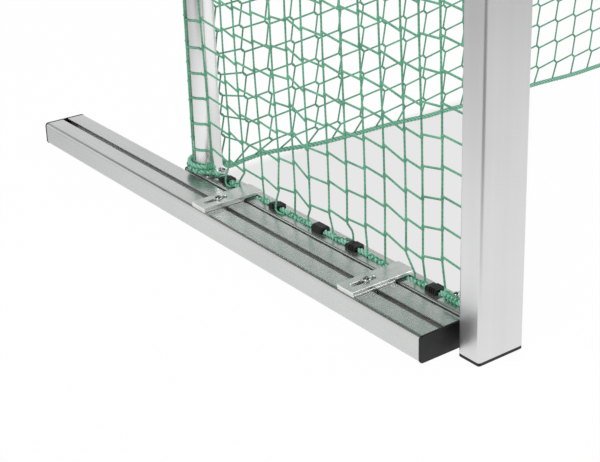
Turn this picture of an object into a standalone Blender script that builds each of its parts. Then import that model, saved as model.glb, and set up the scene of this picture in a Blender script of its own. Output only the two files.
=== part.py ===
"""Small aluminium football goal with net hoops, ground rails and clamped ballast boxes.

Metres, +Z up. The mouth faces -Y, the net hangs towards +Y, and the origin is on the ground at the middle
of the goal's footprint. Most places are given for one side, as distances inwards from the outer face of
that side's post (across), back from the posts' front face (back) and up from the ground (up).
"""

import math

import bmesh
import bpy
from mathutils import Vector

# Frame sizes
CLEAR_WIDTH = 1.800
CLEAR_HEIGHT = 1.200
POST_WIDTH = 0.080
POST_DEPTH = 0.040
POST_CORNER = 0.004
POST_WALL = 0.0025
FOOT_CAP_HEIGHT = 0.0045
GAP = 0.0003
MITRE_GAP = 0.0005

# Ground rail, level with the ballast box beside it
RAIL_SIZE = 0.040
RAIL_CORNER = 0.0025
RAIL_ACROSS = 0.0485
RAIL_END = 0.762
SECTION_BOTTOM = 0.0005
SECTION_TOP = SECTION_BOTTOM + RAIL_SIZE
CAP_PROUD = 0.0004
CAP_THICKNESS = 0.0035
GROOVE_MOUTH = 0.011
GROOVE_WIDTH = 0.018
GROOVE_DEPTH = 0.010
LIP = 0.003

# Ballast box, its slot and its weight
BALLAST_WIDTH = 0.080
BALLAST_OUTER = -0.0538
BALLAST_START = 0.054
BALLAST_LENGTH = 1.068
SLOT_MOUTH = 0.010
SLOT_WIDTH = 0.020
SLOT_DEPTH = 0.009
SLOT_WALL = 0.003
WEIGHT_WIDTH = 0.074
WEIGHT_HEIGHT = 0.018

# Net hoop: a round tube on a foot plate
TUBE_RADIUS = 0.025
TUBE_WALL = 0.002
HOOP_ACROSS = 0.0498
HOOP_BACK = 0.722
HOOP_TOP = 1.240
HOOP_BEND = 0.150
HOOP_FOOT_WIDTH = 0.045
HOOP_FOOT_LENGTH = 0.064
HOOP_FOOT_THICKNESS = 0.0045
SPIGOT_RADIUS = 0.0218
SPIGOT_HEIGHT = 0.050

# Corner bracket that holds the rail to the post
BRACKET_WIDTH = 0.0436
BRACKET_LENGTH = 0.072
BRACKET_THICKNESS = 0.0052
BRACKET_HEIGHT = 0.110
BRACKET_BOLT = (0.0500, 0.101)

# Clamps that hold the box to the rail. The plate's slotted hole lets it slide off the rail.
CLAMP_BACKS = {"front": 0.2149, "rear": 0.5928}
PLATE_LENGTH = 0.113
PLATE_WIDTH = 0.037
PLATE_THICKNESS = 0.005
PLATE_INNER_END = 0.0605
PLATE_HOLE_LENGTH = 0.045
PLATE_HOLE_WIDTH = 0.009
PLATE_HOLE_INNER_END = 0.003
SPACER_LENGTH = 0.076
SPACER_THICKNESS = 0.003
PLATE_CORNER = 0.0015
NUT_LENGTH = 0.025

# Net clips, from the front
CLIP_BACKS = (0.141, 0.321, 0.404, 0.518, 0.660)
CLIP_TRAVEL = ((-0.005, 0.005), (-0.015, 0.015), (-0.015, 0.015), (-0.012, 0.012), (-0.010, 0.002))
CLIP_LENGTH = 0.026
CLIP_WIDTH = 0.022
CLIP_FLOOR = 0.0018
CLIP_TUNNEL = 0.0100
CLIP_ROOF = 0.0022

# Rope and net
ROPE_RADIUS = 0.0045
ROPE_IN_GROOVE = 0.0375
ROPE_IN_CLIP = SECTION_TOP + GAP + CLIP_FLOOR + CLIP_TUNNEL / 2
ROPE_RAMP = 0.020
TURN_POINTS = 24
TURN_PITCH = 2 * ROPE_RADIUS + 0.0009
NET_CORD = 0.003
NET_OUTSIDE = 0.0220
NET_BACK = 0.7505

HALF_WIDTH = CLEAR_WIDTH / 2 + POST_WIDTH
HEIGHT = CLEAR_HEIGHT + POST_WIDTH
BALLAST_ACROSS = BALLAST_OUTER + BALLAST_WIDTH / 2
REAR_END = BALLAST_START + BALLAST_LENGTH
MIDDLE = REAR_END / 2
SIDES = {"left": -1, "right": 1}
QUARTER = math.pi / 2


def spot(side, across, back, up):
    """The world point for a place given from one side's post."""
    return Vector((side * (HALF_WIDTH - across), back - MIDDLE, up))


def new_collection(name, helper=False):
    collection = bpy.data.collections.new(name)
    collection.hide_render = helper
    bpy.context.scene.collection.children.link(collection)
    return collection


def material(name, colour, roughness, metallic=0.0):
    made = bpy.data.materials.new(name)
    made.use_nodes = True
    shader = made.node_tree.nodes["Principled BSDF"]
    shader.inputs["Base Color"].default_value = (*colour, 1)
    shader.inputs["Roughness"].default_value = roughness
    shader.inputs["Metallic"].default_value = metallic
    return made


def add(name, data, finish=None):
    """Links a new object. One with a finish is a piece, and one without is a cutter."""
    obj = bpy.data.objects.new(name, data)
    if finish is None:
        obj.hide_render = True
        obj.display_type = "WIRE"
        CUTTERS.objects.link(obj)
    else:
        obj.data.materials.append(finish)
        PIECES.objects.link(obj)
    return obj


def as_mesh(obj, finish=None):
    """Replaces an object with the mesh that its curve or modifiers make, with the loose caps welded."""
    evaluated = obj.evaluated_get(bpy.context.evaluated_depsgraph_get())
    mesh = bpy.data.meshes.new_from_object(evaluated)
    mesh.materials.clear()
    name = obj.name
    bpy.data.objects.remove(obj)
    work = bmesh.new()
    work.from_mesh(mesh)
    bmesh.ops.remove_doubles(work, verts=work.verts, dist=0.000001)
    bmesh.ops.recalc_face_normals(work, faces=work.faces)
    work.to_mesh(mesh)
    work.free()
    mesh.name = name
    return add(name, mesh, finish)


def arc_corners(corners, steps=3):
    """The points of a closed outline whose corners are given as (x, y, radius)."""
    points = []
    for index, (x, y, radius) in enumerate(corners):
        corner = Vector((x, y))
        if radius == 0:
            points.append(corner)
            continue
        back = (Vector(corners[index - 1][:2]) - corner).normalized()
        ahead = (Vector(corners[(index + 1) % len(corners)][:2]) - corner).normalized()
        half = back.angle(ahead) / 2
        centre = corner + (back + ahead).normalized() * radius / math.sin(half)
        first = corner + back * radius / math.tan(half) - centre
        last = corner + ahead * radius / math.tan(half) - centre
        start = math.atan2(first.y, first.x)
        sweep = (math.atan2(last.y, last.x) - start + math.pi) % (2 * math.pi) - math.pi
        for step in range(steps + 1):
            angle = start + sweep * step / steps
            points.append(centre + radius * Vector((math.cos(angle), math.sin(angle))))
    return points


def rectangle(width, height, radius=0.0, middle=(0.0, 0.0), steps=3):
    x, y = middle
    half_x, half_y = width / 2, height / 2
    return arc_corners(
        [
            (x - half_x, y - half_y, radius),
            (x + half_x, y - half_y, radius),
            (x + half_x, y + half_y, radius),
            (x - half_x, y + half_y, radius),
        ],
        steps,
    )


def extrusion(name, outlines, length, finish=None):
    """A bar of the given section along its own Z, with its middle at its origin. Inner outlines are hollow."""
    curve = bpy.data.curves.new(name, "CURVE")
    curve.dimensions = "2D"
    curve.fill_mode = "BOTH"
    curve.extrude = length / 2
    for outline in outlines:
        spline = curve.splines.new("POLY")
        spline.points.add(len(outline) - 1)
        for point, (x, y) in zip(spline.points, outline):
            point.co = (x, y, 0, 1)
        spline.use_cyclic_u = True
    return as_mesh(add(name, curve, finish), finish)


def turned(name, profile, steps, finish=None):
    """A solid of revolution about Z, from (radius, height) points that run down its outer side."""
    mesh = bpy.data.meshes.new(name)
    edges = [(index, index + 1) for index in range(len(profile) - 1)]
    mesh.from_pydata([(radius, 0, height) for radius, height in profile], edges, [])
    obj = add(name, mesh, finish)
    screw = obj.modifiers.new("turn", "SCREW")
    screw.steps = screw.render_steps = steps
    screw.use_merge_vertices = True
    screw.merge_threshold = 0.00001
    return as_mesh(obj, finish)


def tube(name, points, radius, resolution, finish, caps=True):
    curve = bpy.data.curves.new(name, "CURVE")
    curve.dimensions = "3D"
    curve.bevel_depth = radius
    curve.bevel_resolution = resolution
    curve.use_fill_caps = caps
    spline = curve.splines.new("POLY")
    spline.points.add(len(points) - 1)
    for point, place in zip(spline.points, points):
        point.co = (*place, 1)
    return add(name, curve, finish)


def combine(obj, other, operation):
    boolean = obj.modifiers.new(other.name, "BOOLEAN")
    boolean.operation = operation
    boolean.object = other


def smooth(obj, angle=35):
    obj.data.shade_smooth()
    obj.data.set_sharp_from_angle(angle=math.radians(angle))


def ease(value):
    """0 to 1 with a gentle start and end, held outside that range."""
    value = min(max(value, 0.0), 1.0)
    return value * value * (3 - 2 * value)


def through(route, steps):
    """A smooth curve through the route's points, as steps short pieces between each two."""
    ends = [2 * route[0] - route[1], *route, 2 * route[-1] - route[-2]]
    points = []
    for index in range(1, len(ends) - 2):
        before, start, end, after = ends[index - 1 : index + 3]
        for step in range(steps):
            t = step / steps
            points.append(
                0.5
                * (
                    2 * start
                    + (end - before) * t
                    + (2 * before - 5 * start + 4 * end - after) * t**2
                    + (3 * start - before - 3 * end + after) * t**3
                )
            )
    return [*points, route[-1]]


def lay_along_y(obj, place):
    obj.location = place
    obj.rotation_euler = (QUARTER, 0, 0)


def slotted_section(width, height, corner, mouth, slot_width, slot_depth, lip):
    """A box section whose top has an undercut slot: the outer outline, centred on the section."""
    top = height / 2
    slot_top = top - lip
    slot_bottom = slot_top - slot_depth
    return arc_corners(
        [
            (-width / 2, -height / 2, corner),
            (width / 2, -height / 2, corner),
            (width / 2, top, corner),
            (mouth / 2, top, 0.0006),
            (mouth / 2, slot_top, 0),
            (slot_width / 2, slot_top, 0),
            (slot_width / 2, slot_bottom, 0),
            (-slot_width / 2, slot_bottom, 0),
            (-slot_width / 2, slot_top, 0),
            (-mouth / 2, slot_top, 0),
            (-mouth / 2, top, 0.0006),
            (-width / 2, top, corner),
        ]
    )


# Clear the scene

for old in list(bpy.data.objects):
    bpy.data.objects.remove(old)

PIECES = new_collection("training_goal")
CUTTERS = new_collection("cutters", helper=True)

ALUMINIUM = material("satin aluminium", (0.62, 0.63, 0.64), 0.34, 0.9)
TUBE_FINISH = material("drawn aluminium tube", (0.66, 0.66, 0.66), 0.28, 0.9)
PLATE_FINISH = material("cut aluminium plate", (0.66, 0.67, 0.67), 0.4, 0.85)
BRIGHT_STEEL = material("stainless steel", (0.66, 0.66, 0.67), 0.18, 1.0)
DARK_STEEL = material("mill scale steel", (0.08, 0.08, 0.085), 0.6, 0.6)
BLACK_PLASTIC = material("black plastic", (0.012, 0.012, 0.013), 0.45)
GREEN_CORD = material("green polypropylene cord", (0.02, 0.21, 0.11), 0.55)


# Posts and crossbar: one hollow section, mitred at the corners

post_outline = rectangle(POST_WIDTH, POST_DEPTH, POST_CORNER)
post_bore = rectangle(POST_WIDTH - 2 * POST_WALL, POST_DEPTH - 2 * POST_WALL, POST_CORNER - POST_WALL)


def make_post(label, side):
    bottom = FOOT_CAP_HEIGHT + GAP
    post = extrusion("post_" + label, [post_outline, post_bore], HEIGHT - bottom, ALUMINIUM)
    half = (HEIGHT - bottom) / 2
    for vertex in post.data.vertices:
        if vertex.co.z > 0:
            vertex.co.z = half - (POST_WIDTH / 2 - side * vertex.co.x)
    post.location = spot(side, POST_WIDTH / 2, POST_DEPTH / 2, bottom + half)
    smooth(post)

    cap = extrusion("foot_cap_" + label, [post_outline], FOOT_CAP_HEIGHT, BLACK_PLASTIC)
    cap.location = spot(side, POST_WIDTH / 2, POST_DEPTH / 2, FOOT_CAP_HEIGHT / 2)
    smooth(cap)


def make_crossbar():
    outlines = [[(y, x) for x, y in outline] for outline in (post_outline, post_bore)]
    bar = extrusion("crossbar", outlines, 2 * HALF_WIDTH, ALUMINIUM)
    for vertex in bar.data.vertices:
        setback = POST_WIDTH / 2 - vertex.co.y + MITRE_GAP
        vertex.co.z = math.copysign(HALF_WIDTH - setback, vertex.co.z)
    bar.location = spot(1, HALF_WIDTH, POST_DEPTH / 2, HEIGHT - POST_WIDTH / 2)
    bar.rotation_euler = (QUARTER, 0, QUARTER)
    smooth(bar)


# Ground rail: a grooved section with a black cap at its rear end

def make_rail(label, side):
    outer = slotted_section(
        RAIL_SIZE, RAIL_SIZE, RAIL_CORNER, GROOVE_MOUTH, GROOVE_WIDTH, GROOVE_DEPTH, LIP
    )
    groove_floor = RAIL_SIZE / 2 - LIP - GROOVE_DEPTH
    chamber_bottom = -RAIL_SIZE / 2 + LIP
    chamber_top = groove_floor - LIP
    chamber = rectangle(
        RAIL_SIZE - 2 * LIP,
        chamber_top - chamber_bottom,
        0.001,
        (0, (chamber_top + chamber_bottom) / 2),
    )
    start = POST_DEPTH + GAP
    end = RAIL_END - CAP_THICKNESS - GAP
    height = SECTION_BOTTOM + RAIL_SIZE / 2
    rail = extrusion("ground_rail_" + label, [outer, chamber], end - start, ALUMINIUM)
    lay_along_y(rail, spot(side, RAIL_ACROSS, (start + end) / 2, height))
    smooth(rail)

    cap_size = RAIL_SIZE + 2 * CAP_PROUD
    cap = extrusion(
        "rail_end_cap_" + label, [rectangle(cap_size, cap_size, RAIL_CORNER)], CAP_THICKNESS, BLACK_PLASTIC
    )
    lay_along_y(cap, spot(side, RAIL_ACROSS, RAIL_END - CAP_THICKNESS / 2, height))
    smooth(cap)


# Corner bracket: an angle screwed down on the rail, with its upright leg on the back of the post

def make_bracket(label, side):
    base = SECTION_TOP + GAP
    front = POST_DEPTH + GAP
    legs = arc_corners(
        [
            (0, 0, 0),
            (BRACKET_LENGTH, 0, 0),
            (BRACKET_LENGTH, BRACKET_THICKNESS, 0.001),
            (BRACKET_THICKNESS, BRACKET_THICKNESS, 0.003),
            (BRACKET_THICKNESS, BRACKET_HEIGHT, 0.001),
            (0, BRACKET_HEIGHT, 0),
        ]
    )
    bracket = extrusion("corner_bracket_" + label, [legs], BRACKET_WIDTH, PLATE_FINISH)
    bracket.location = spot(side, RAIL_ACROSS + 0.0005, front, base)
    bracket.rotation_euler = (QUARTER, 0, QUARTER)
    across, back = BRACKET_BOLT
    hole = turned("bracket_hole_" + label, [(0, 0.02), (0.0034, 0.02), (0.0034, -0.02), (0, -0.02)], 16)
    hole.location = spot(side, across, back, base)
    combine(bracket, hole, "DIFFERENCE")

    bolt = button_bolt("bracket_bolt_" + label, 0.003, 0.014, 0.0053, 0.0033, 0.0023)
    bolt.location = spot(side, across, back, base + BRACKET_THICKNESS + GAP)


def button_bolt(name, shank, length, head, height, socket):
    """A domed socket-head bolt that stands on its own origin, with its shank hanging below."""
    rim = height * 0.25
    dome = [
        (head * math.sin(angle), rim + (height - rim) * math.cos(angle))
        for angle in (QUARTER * step / 4 for step in range(5))
    ]
    profile = [(0, height), *dome[1:], (head, 0), (shank, 0), (shank, -length + 0.0008)]
    profile += [(shank - 0.0008, -length), (0, -length)]
    bolt = turned(name, profile, 20, BRIGHT_STEEL)
    recess = turned(name + "_socket", [(0, height), (socket, height), (socket, 0), (0, 0)], 6)
    recess.parent = bolt
    recess.location = (0, 0, height * 0.35)
    combine(bolt, recess, "DIFFERENCE")
    smooth(bolt)
    return bolt


# Net hoop: round tube, upright at the back and bent forward to the frame, on a plate with a spigot

def make_hoop(label, side):
    plate_base = SECTION_TOP + GAP
    plate_top = plate_base + HOOP_FOOT_THICKNESS
    path = [(HOOP_BACK, plate_top + GAP)]
    for step in range(11):
        angle = QUARTER * step / 10
        path.append(
            (
                HOOP_BACK - HOOP_BEND * (1 - math.cos(angle)),
                HOOP_TOP - HOOP_BEND * (1 - math.sin(angle)),
            )
        )
    path.append((POST_DEPTH + GAP, HOOP_TOP))
    points = [spot(side, HOOP_ACROSS, back, up) for back, up in path]
    hoop = tube("net_hoop_" + label, points, TUBE_RADIUS, 6, TUBE_FINISH, caps=False)
    wall = hoop.modifiers.new("tube wall", "SOLIDIFY")
    wall.thickness = TUBE_WALL
    wall.offset = -1

    plate = extrusion(
        "hoop_foot_" + label,
        [rectangle(HOOP_FOOT_WIDTH, HOOP_FOOT_LENGTH, 0.003)],
        HOOP_FOOT_THICKNESS,
        PLATE_FINISH,
    )
    plate.location = spot(side, HOOP_ACROSS, HOOP_BACK, plate_base + HOOP_FOOT_THICKNESS / 2)
    spigot = turned(
        "spigot_" + label,
        [(0, SPIGOT_HEIGHT), (SPIGOT_RADIUS, SPIGOT_HEIGHT), (SPIGOT_RADIUS, -0.002), (0, -0.002)],
        20,
    )
    spigot.location = spot(side, HOOP_ACROSS, HOOP_BACK, plate_top)
    combine(plate, spigot, "UNION")


# Ballast box: a wide section with a bolt slot along its top, capped at both ends round a steel weight

def make_ballast(label, side):
    outer = slotted_section(
        BALLAST_WIDTH, RAIL_SIZE, POST_CORNER, SLOT_MOUTH, SLOT_WIDTH, SLOT_DEPTH, SLOT_WALL
    )
    inner_x = BALLAST_WIDTH / 2 - POST_WALL
    inner_y = RAIL_SIZE / 2 - POST_WALL
    channel_x = SLOT_WIDTH / 2 + SLOT_WALL
    channel_y = RAIL_SIZE / 2 - SLOT_WALL - SLOT_DEPTH - SLOT_WALL
    chamber = arc_corners(
        [
            (-inner_x, -inner_y, 0.0015),
            (inner_x, -inner_y, 0.0015),
            (inner_x, inner_y, 0.0015),
            (channel_x, inner_y, 0),
            (channel_x, channel_y, 0),
            (-channel_x, channel_y, 0),
            (-channel_x, inner_y, 0),
            (-inner_x, inner_y, 0.0015),
        ]
    )
    height = SECTION_BOTTOM + RAIL_SIZE / 2
    start = BALLAST_START + CAP_THICKNESS + GAP
    end = REAR_END - CAP_THICKNESS - GAP
    middle = (start + end) / 2
    box = extrusion("ballast_box_" + label, [outer, chamber], end - start, ALUMINIUM)
    lay_along_y(box, spot(side, BALLAST_ACROSS, middle, height))
    smooth(box)

    cap_outline = rectangle(BALLAST_WIDTH + 2 * CAP_PROUD, RAIL_SIZE + 2 * CAP_PROUD, POST_CORNER)
    for end_name, back in (
        ("front", BALLAST_START + CAP_THICKNESS / 2),
        ("rear", REAR_END - CAP_THICKNESS / 2),
    ):
        cap = extrusion(f"ballast_{end_name}_cap_{label}", [cap_outline], CAP_THICKNESS, BLACK_PLASTIC)
        lay_along_y(cap, spot(side, BALLAST_ACROSS, back, height))
        smooth(cap)

    weight = extrusion(
        "ballast_weight_" + label,
        [rectangle(WEIGHT_WIDTH, WEIGHT_HEIGHT, 0.001)],
        end - start - 0.010,
        DARK_STEEL,
    )
    bottom = SECTION_BOTTOM + POST_WALL + GAP
    lay_along_y(weight, spot(side, BALLAST_ACROSS, middle, bottom + WEIGHT_HEIGHT / 2))


# Clamp: slotted plate over a spacer, drawn down by a bolt into a nut that runs in the box's slot

def make_clamp(label, side, place, back):
    carrier = bpy.data.objects.new(f"{place}_clamp_{label}", None)
    carrier.location = spot(side, BALLAST_ACROSS, back, SECTION_TOP)
    PIECES.objects.link(carrier)

    def x_of(across):
        """Sideways place on the clamp of a distance from the post's outer face."""
        return side * (BALLAST_ACROSS - across)

    spacer_base = GAP
    plate_base = spacer_base + SPACER_THICKNESS + GAP
    bolt_base = plate_base + PLATE_THICKNESS + GAP

    nut_outline = arc_corners(
        [
            (-0.009, -0.0115, 0.0005),
            (0.009, -0.0115, 0.0005),
            (0.009, -0.0035, 0.0005),
            (0.0046, -0.0035, 0),
            (0.0046, -0.0004, 0),
            (-0.0046, -0.0004, 0),
            (-0.0046, -0.0035, 0),
            (-0.009, -0.0035, 0.0005),
        ],
        1,
    )
    nut = extrusion(f"{place}_clamp_nut_{label}", [nut_outline], NUT_LENGTH, BRIGHT_STEEL)
    nut.rotation_euler = (QUARTER, 0, 0)
    nut.parent = carrier
    thread = turned(f"{place}_nut_hole_{label}", [(0, 0.02), (0.0044, 0.02), (0.0044, -0.02), (0, -0.02)], 16)
    thread.parent = carrier
    combine(nut, thread, "DIFFERENCE")

    bolt_hole = rectangle(PLATE_HOLE_WIDTH, PLATE_HOLE_WIDTH, PLATE_HOLE_WIDTH / 2 - 0.00001, steps=4)
    spacer = extrusion(
        f"{place}_clamp_spacer_{label}",
        [rectangle(SPACER_LENGTH, PLATE_WIDTH, PLATE_CORNER), bolt_hole],
        SPACER_THICKNESS,
        PLATE_FINISH,
    )
    spacer.location = (0, 0, spacer_base + SPACER_THICKNESS / 2)
    spacer.parent = carrier

    slot_middle = x_of(PLATE_HOLE_INNER_END - PLATE_HOLE_LENGTH / 2)
    plate_middle = x_of(PLATE_INNER_END - PLATE_LENGTH / 2)
    slotted_hole = rectangle(
        PLATE_HOLE_LENGTH,
        PLATE_HOLE_WIDTH,
        PLATE_HOLE_WIDTH / 2 - 0.00001,
        (slot_middle - plate_middle, 0),
        steps=5,
    )
    plate = extrusion(
        f"{place}_clamp_plate_{label}",
        [rectangle(PLATE_LENGTH, PLATE_WIDTH, PLATE_CORNER), slotted_hole],
        PLATE_THICKNESS,
        PLATE_FINISH,
    )
    plate.location = (plate_middle, 0, plate_base + PLATE_THICKNESS / 2)
    plate.parent = carrier

    bolt = button_bolt(f"{place}_clamp_bolt_{label}", 0.004, 0.018, 0.007, 0.0044, 0.0029)
    bolt.location = (0, 0, bolt_base)
    bolt.parent = carrier


# Net clip: a foot that runs in the rail's groove, under a block with a tunnel for the rope

def make_clip(label, side, number, back):
    floor_z = GAP + CLIP_FLOOR
    tunnel_top = floor_z + CLIP_TUNNEL
    top = tunnel_top + CLIP_ROOF
    neck = GROOVE_MOUTH / 2 - 0.0007
    foot = GROOVE_WIDTH / 2 - 0.0005
    outer = arc_corners(
        [
            (-foot, -0.0085, 0.001),
            (foot, -0.0085, 0.001),
            (foot, -LIP - 0.0004, 0.001),
            (neck, -LIP - 0.0004, 0),
            (neck, GAP, 0),
            (CLIP_WIDTH / 2, GAP, 0.001),
            (CLIP_WIDTH / 2, top, 0.004),
            (-CLIP_WIDTH / 2, top, 0.004),
            (-CLIP_WIDTH / 2, GAP, 0.001),
            (-neck, GAP, 0),
            (-neck, -LIP - 0.0004, 0),
            (-foot, -LIP - 0.0004, 0.001),
        ],
        2,
    )
    tunnel = rectangle(0.012, CLIP_TUNNEL, 0.003, (0, floor_z + CLIP_TUNNEL / 2), steps=2)
    clip = extrusion(f"net_clip_{number}_{label}", [outer, tunnel], CLIP_LENGTH, BLACK_PLASTIC)
    lay_along_y(clip, spot(side, RAIL_ACROSS, back, SECTION_TOP))


# Side rope: over the bracket, through the clips, sunk in the groove under the clamps, round the hoop

def rope_height(back):
    """The rope's height along the rail: level with the tunnels wherever a clip can come."""
    lift = 0.0
    for clip_back, travel in zip(CLIP_BACKS, CLIP_TRAVEL):
        reach = CLIP_LENGTH / 2 + 0.001
        low = clip_back + travel[0] - reach
        high = clip_back + travel[1] + reach
        outside = max(low - back, back - high, 0.0)
        lift = max(lift, 1 - outside / ROPE_RAMP)
    return ROPE_IN_GROOVE + (ROPE_IN_CLIP - ROPE_IN_GROOVE) * ease(lift)


def make_side_rope(label, side):
    on_bracket = SECTION_TOP + GAP + BRACKET_THICKNESS + ROPE_RADIUS + GAP
    start = CLIP_BACKS[0] + CLIP_TRAVEL[0][0] - CLIP_LENGTH / 2 - 0.001
    route = [
        Vector((0.036, POST_DEPTH + 0.0065, on_bracket)),
        Vector((0.0365, 0.075, on_bracket)),
        Vector((0.0380, 0.098, on_bracket)),
        Vector((0.0415, 0.1085, on_bracket)),
        Vector((0.0470, 0.1160, on_bracket - 0.0015)),
        Vector((RAIL_ACROSS, start, ROPE_IN_CLIP)),
    ]
    places = through(route, 3)

    end = CLIP_BACKS[-1] + CLIP_TRAVEL[-1][1] + CLIP_LENGTH / 2 + 0.001
    count = 62
    for step in range(1, count + 1):
        back = start + (end - start) * step / count
        places.append(Vector((RAIL_ACROSS, back, rope_height(back))))

    winding = TUBE_RADIUS + ROPE_RADIUS + 0.0006
    first_height = SECTION_TOP + 2 * GAP + HOOP_FOOT_THICKNESS + ROPE_RADIUS + 0.0003
    to_rope = Vector((RAIL_ACROSS - HOOP_ACROSS, end - HOOP_BACK))
    first_angle = math.atan2(to_rope.y, to_rope.x) - math.acos(winding / to_rope.length)
    lead_in = places[-1].lerp(
        Vector((HOOP_ACROSS + winding * math.cos(first_angle), HOOP_BACK + winding * math.sin(first_angle), 0)),
        0.35,
    )
    lead_in.z = first_height
    # The turns end behind the tube, where the rope heads along the back, after one full turn and a part.
    last_angle = QUARTER - 4 * math.pi if first_angle < 0 else QUARTER - 2 * math.pi
    count = round((first_angle - last_angle) / (2 * math.pi) * TURN_POINTS)
    turns = []
    for step in range(count + 1):
        angle = first_angle + (last_angle - first_angle) * step / count
        turns.append(
            Vector(
                (
                    HOOP_ACROSS + winding * math.cos(angle),
                    HOOP_BACK + winding * math.sin(angle),
                    first_height + TURN_PITCH * (first_angle - angle) / (2 * math.pi),
                )
            )
        )
    tail = turns[-1] + Vector((2 * ROPE_RADIUS, 0, 0))
    apart = TURN_POINTS // 2
    least = min((a - b).length for i, a in enumerate(turns) for b in turns[i + apart :]) - 2 * ROPE_RADIUS
    print(f"side_rope_{label}: least gap between turns {least * 1000:.2f} mm, ends at {tail}")
    places += [lead_in, *turns, tail]
    points = [spot(side, *place) for place in places]
    tube("side_rope_" + label, points, ROPE_RADIUS, 1, GREEN_CORD)
    return tail


# Back rope: along the ground from hoop to hoop, given from the left post's outer face

def make_back_rope(tail):
    ground = ROPE_RADIUS + 0.0002
    start = tail + Vector((GAP, 0, 0))
    route = [
        start,
        start + Vector((0.007, 0, 0)),
        Vector((0.077, 0.7528, 0.0610)),
        Vector((0.093, 0.758, 0.049)),
        Vector((0.108, 0.768, 0.030)),
        Vector((0.125, 0.781, 0.0125)),
        Vector((0.146, 0.792, ground)),
        Vector((0.181, 0.800, ground)),
        Vector((0.220, 0.803, ground)),
        Vector((0.260, 0.795, ground)),
        Vector((0.300, 0.783, ground)),
        Vector((0.340, 0.776, ground)),
        Vector((0.390, 0.773, ground)),
        Vector((0.480, 0.770, ground)),
        Vector((0.530, 0.765, ground)),
        Vector((0.578, 0.758, ground)),
        Vector((0.630, 0.759, ground)),
        Vector((0.700, 0.755, ground)),
        Vector((0.800, 0.757, ground)),
        Vector((0.885, 0.757, ground)),
        Vector((0.968, 0.752, ground)),
        Vector((1.040, 0.755, ground)),
        Vector((1.120, 0.760, ground)),
        Vector((1.240, 0.758, ground)),
        Vector((1.360, 0.762, ground)),
        Vector((1.460, 0.768, ground)),
        Vector((1.550, 0.772, ground)),
        Vector((1.630, 0.779, ground)),
        Vector((1.700, 0.790, ground)),
        Vector((1.755, 0.798, ground)),
        Vector((1.796, 0.796, ground)),
        Vector((1.824, 0.786, 0.0115)),
        Vector((1.847, 0.771, 0.029)),
        Vector((1.866, 0.759, 0.048)),
        Vector((1.882, 0.7529, 0.0607)),
        Vector((2 * HALF_WIDTH - start.x - 0.007, start.y, start.z)),
        Vector((2 * HALF_WIDTH - start.x, start.y, start.z)),
    ]
    points = [spot(-1, x, y, max(z, ground)) for x, y, z in through(route, 2)]
    tube("back_rope", points, ROPE_RADIUS, 2, GREEN_CORD)


# Net: knotless panels, drawn here with a coarse mesh on the true surfaces

def net_panel(name, columns, rows, place):
    mesh = bpy.data.meshes.new(name)
    work = bmesh.new()
    bmesh.ops.create_grid(work, x_segments=columns, y_segments=rows, size=0.5)
    for vertex in work.verts:
        vertex.co = place(vertex.co.x + 0.5, vertex.co.y + 0.5)
    work.to_mesh(mesh)
    work.free()
    net = add(name, mesh, GREEN_CORD)
    strands = net.modifiers.new("strands", "WIREFRAME")
    strands.thickness = NET_CORD
    strands.use_even_offset = True
    strands.use_boundary = True


def make_side_net(label, side):
    high = HOOP_TOP
    front, rear = POST_DEPTH + 0.008, 0.742
    bend_start = HOOP_TOP - HOOP_BEND
    bend_back = HOOP_BACK - HOOP_BEND
    bend_radius = rear - bend_back

    def place(s, t):
        low = 0.0585 + 0.022 * ease((s - 0.8) / 0.2)
        up = low + (high - low) * t
        over = max(up - bend_start, 0.0)
        last = bend_back + math.sqrt(bend_radius**2 - over**2)
        back = front + (last - front) * s
        outwards = max(ease(t / 0.6), ease((back - 0.450) / 0.140))
        return spot(side, RAIL_ACROSS + (NET_OUTSIDE - RAIL_ACROSS) * outwards, back, up)

    net_panel("side_net_" + label, 5, 9, place)


def make_back_nets():
    """The top, the slope over the hoops' bends and the back, each flat, from hoop to hoop."""
    edge = 0.027
    width = 2 * (HALF_WIDTH - edge)
    apart = 0.004
    top_height = HOOP_TOP + TUBE_RADIUS + NET_CORD
    slope_drop = (HOOP_BEND + TUBE_RADIUS + NET_CORD) * math.tan(math.pi / 8)
    slope_start = HOOP_BACK - HOOP_BEND + slope_drop
    slope_end = HOOP_TOP - HOOP_BEND + slope_drop

    def back_place(s, t):
        across = edge + width * s
        from_hoop = min(across, 2 * HALF_WIDTH - across)
        low = 0.0165 + 0.064 * ease((0.260 - from_hoop) / 0.200)
        return spot(-1, across, NET_BACK, low + (slope_end - apart - low) * t)

    def bend_place(s, t):
        back = slope_start + (NET_BACK - slope_start) * t
        up = top_height + (slope_end - top_height) * t
        return spot(-1, edge + width * s, back, up)

    def top_place(s, t):
        front = POST_DEPTH + NET_CORD
        return spot(-1, edge + width * s, front + (slope_start - apart - front) * t, top_height)

    net_panel("back_net", 14, 8, back_place)
    net_panel("bend_net", 14, 1, bend_place)
    net_panel("top_net", 14, 5, top_place)


# The whole goal

make_crossbar()
for side_label, side_sign in SIDES.items():
    make_post(side_label, side_sign)
    make_rail(side_label, side_sign)
    make_bracket(side_label, side_sign)
    make_hoop(side_label, side_sign)
    make_ballast(side_label, side_sign)
    for clamp_place, clamp_back in CLAMP_BACKS.items():
        make_clamp(side_label, side_sign, clamp_place, clamp_back)
    for clip_number, clip_place in enumerate(CLIP_BACKS, 1):
        make_clip(side_label, side_sign, clip_number, clip_place)
    rope_tail = make_side_rope(side_label, side_sign)
    make_side_net(side_label, side_sign)
make_back_rope(rope_tail)
make_back_nets()
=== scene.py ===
"""The looks of a small aluminium goal with a net, ground rails and clamped ballast boxes.

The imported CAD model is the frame. Places are given for one side, as distances inwards from the outer face of
that side's post (across), back from the posts' front face (back) and up from the ground (up), in metres.
"""

import math

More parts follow.
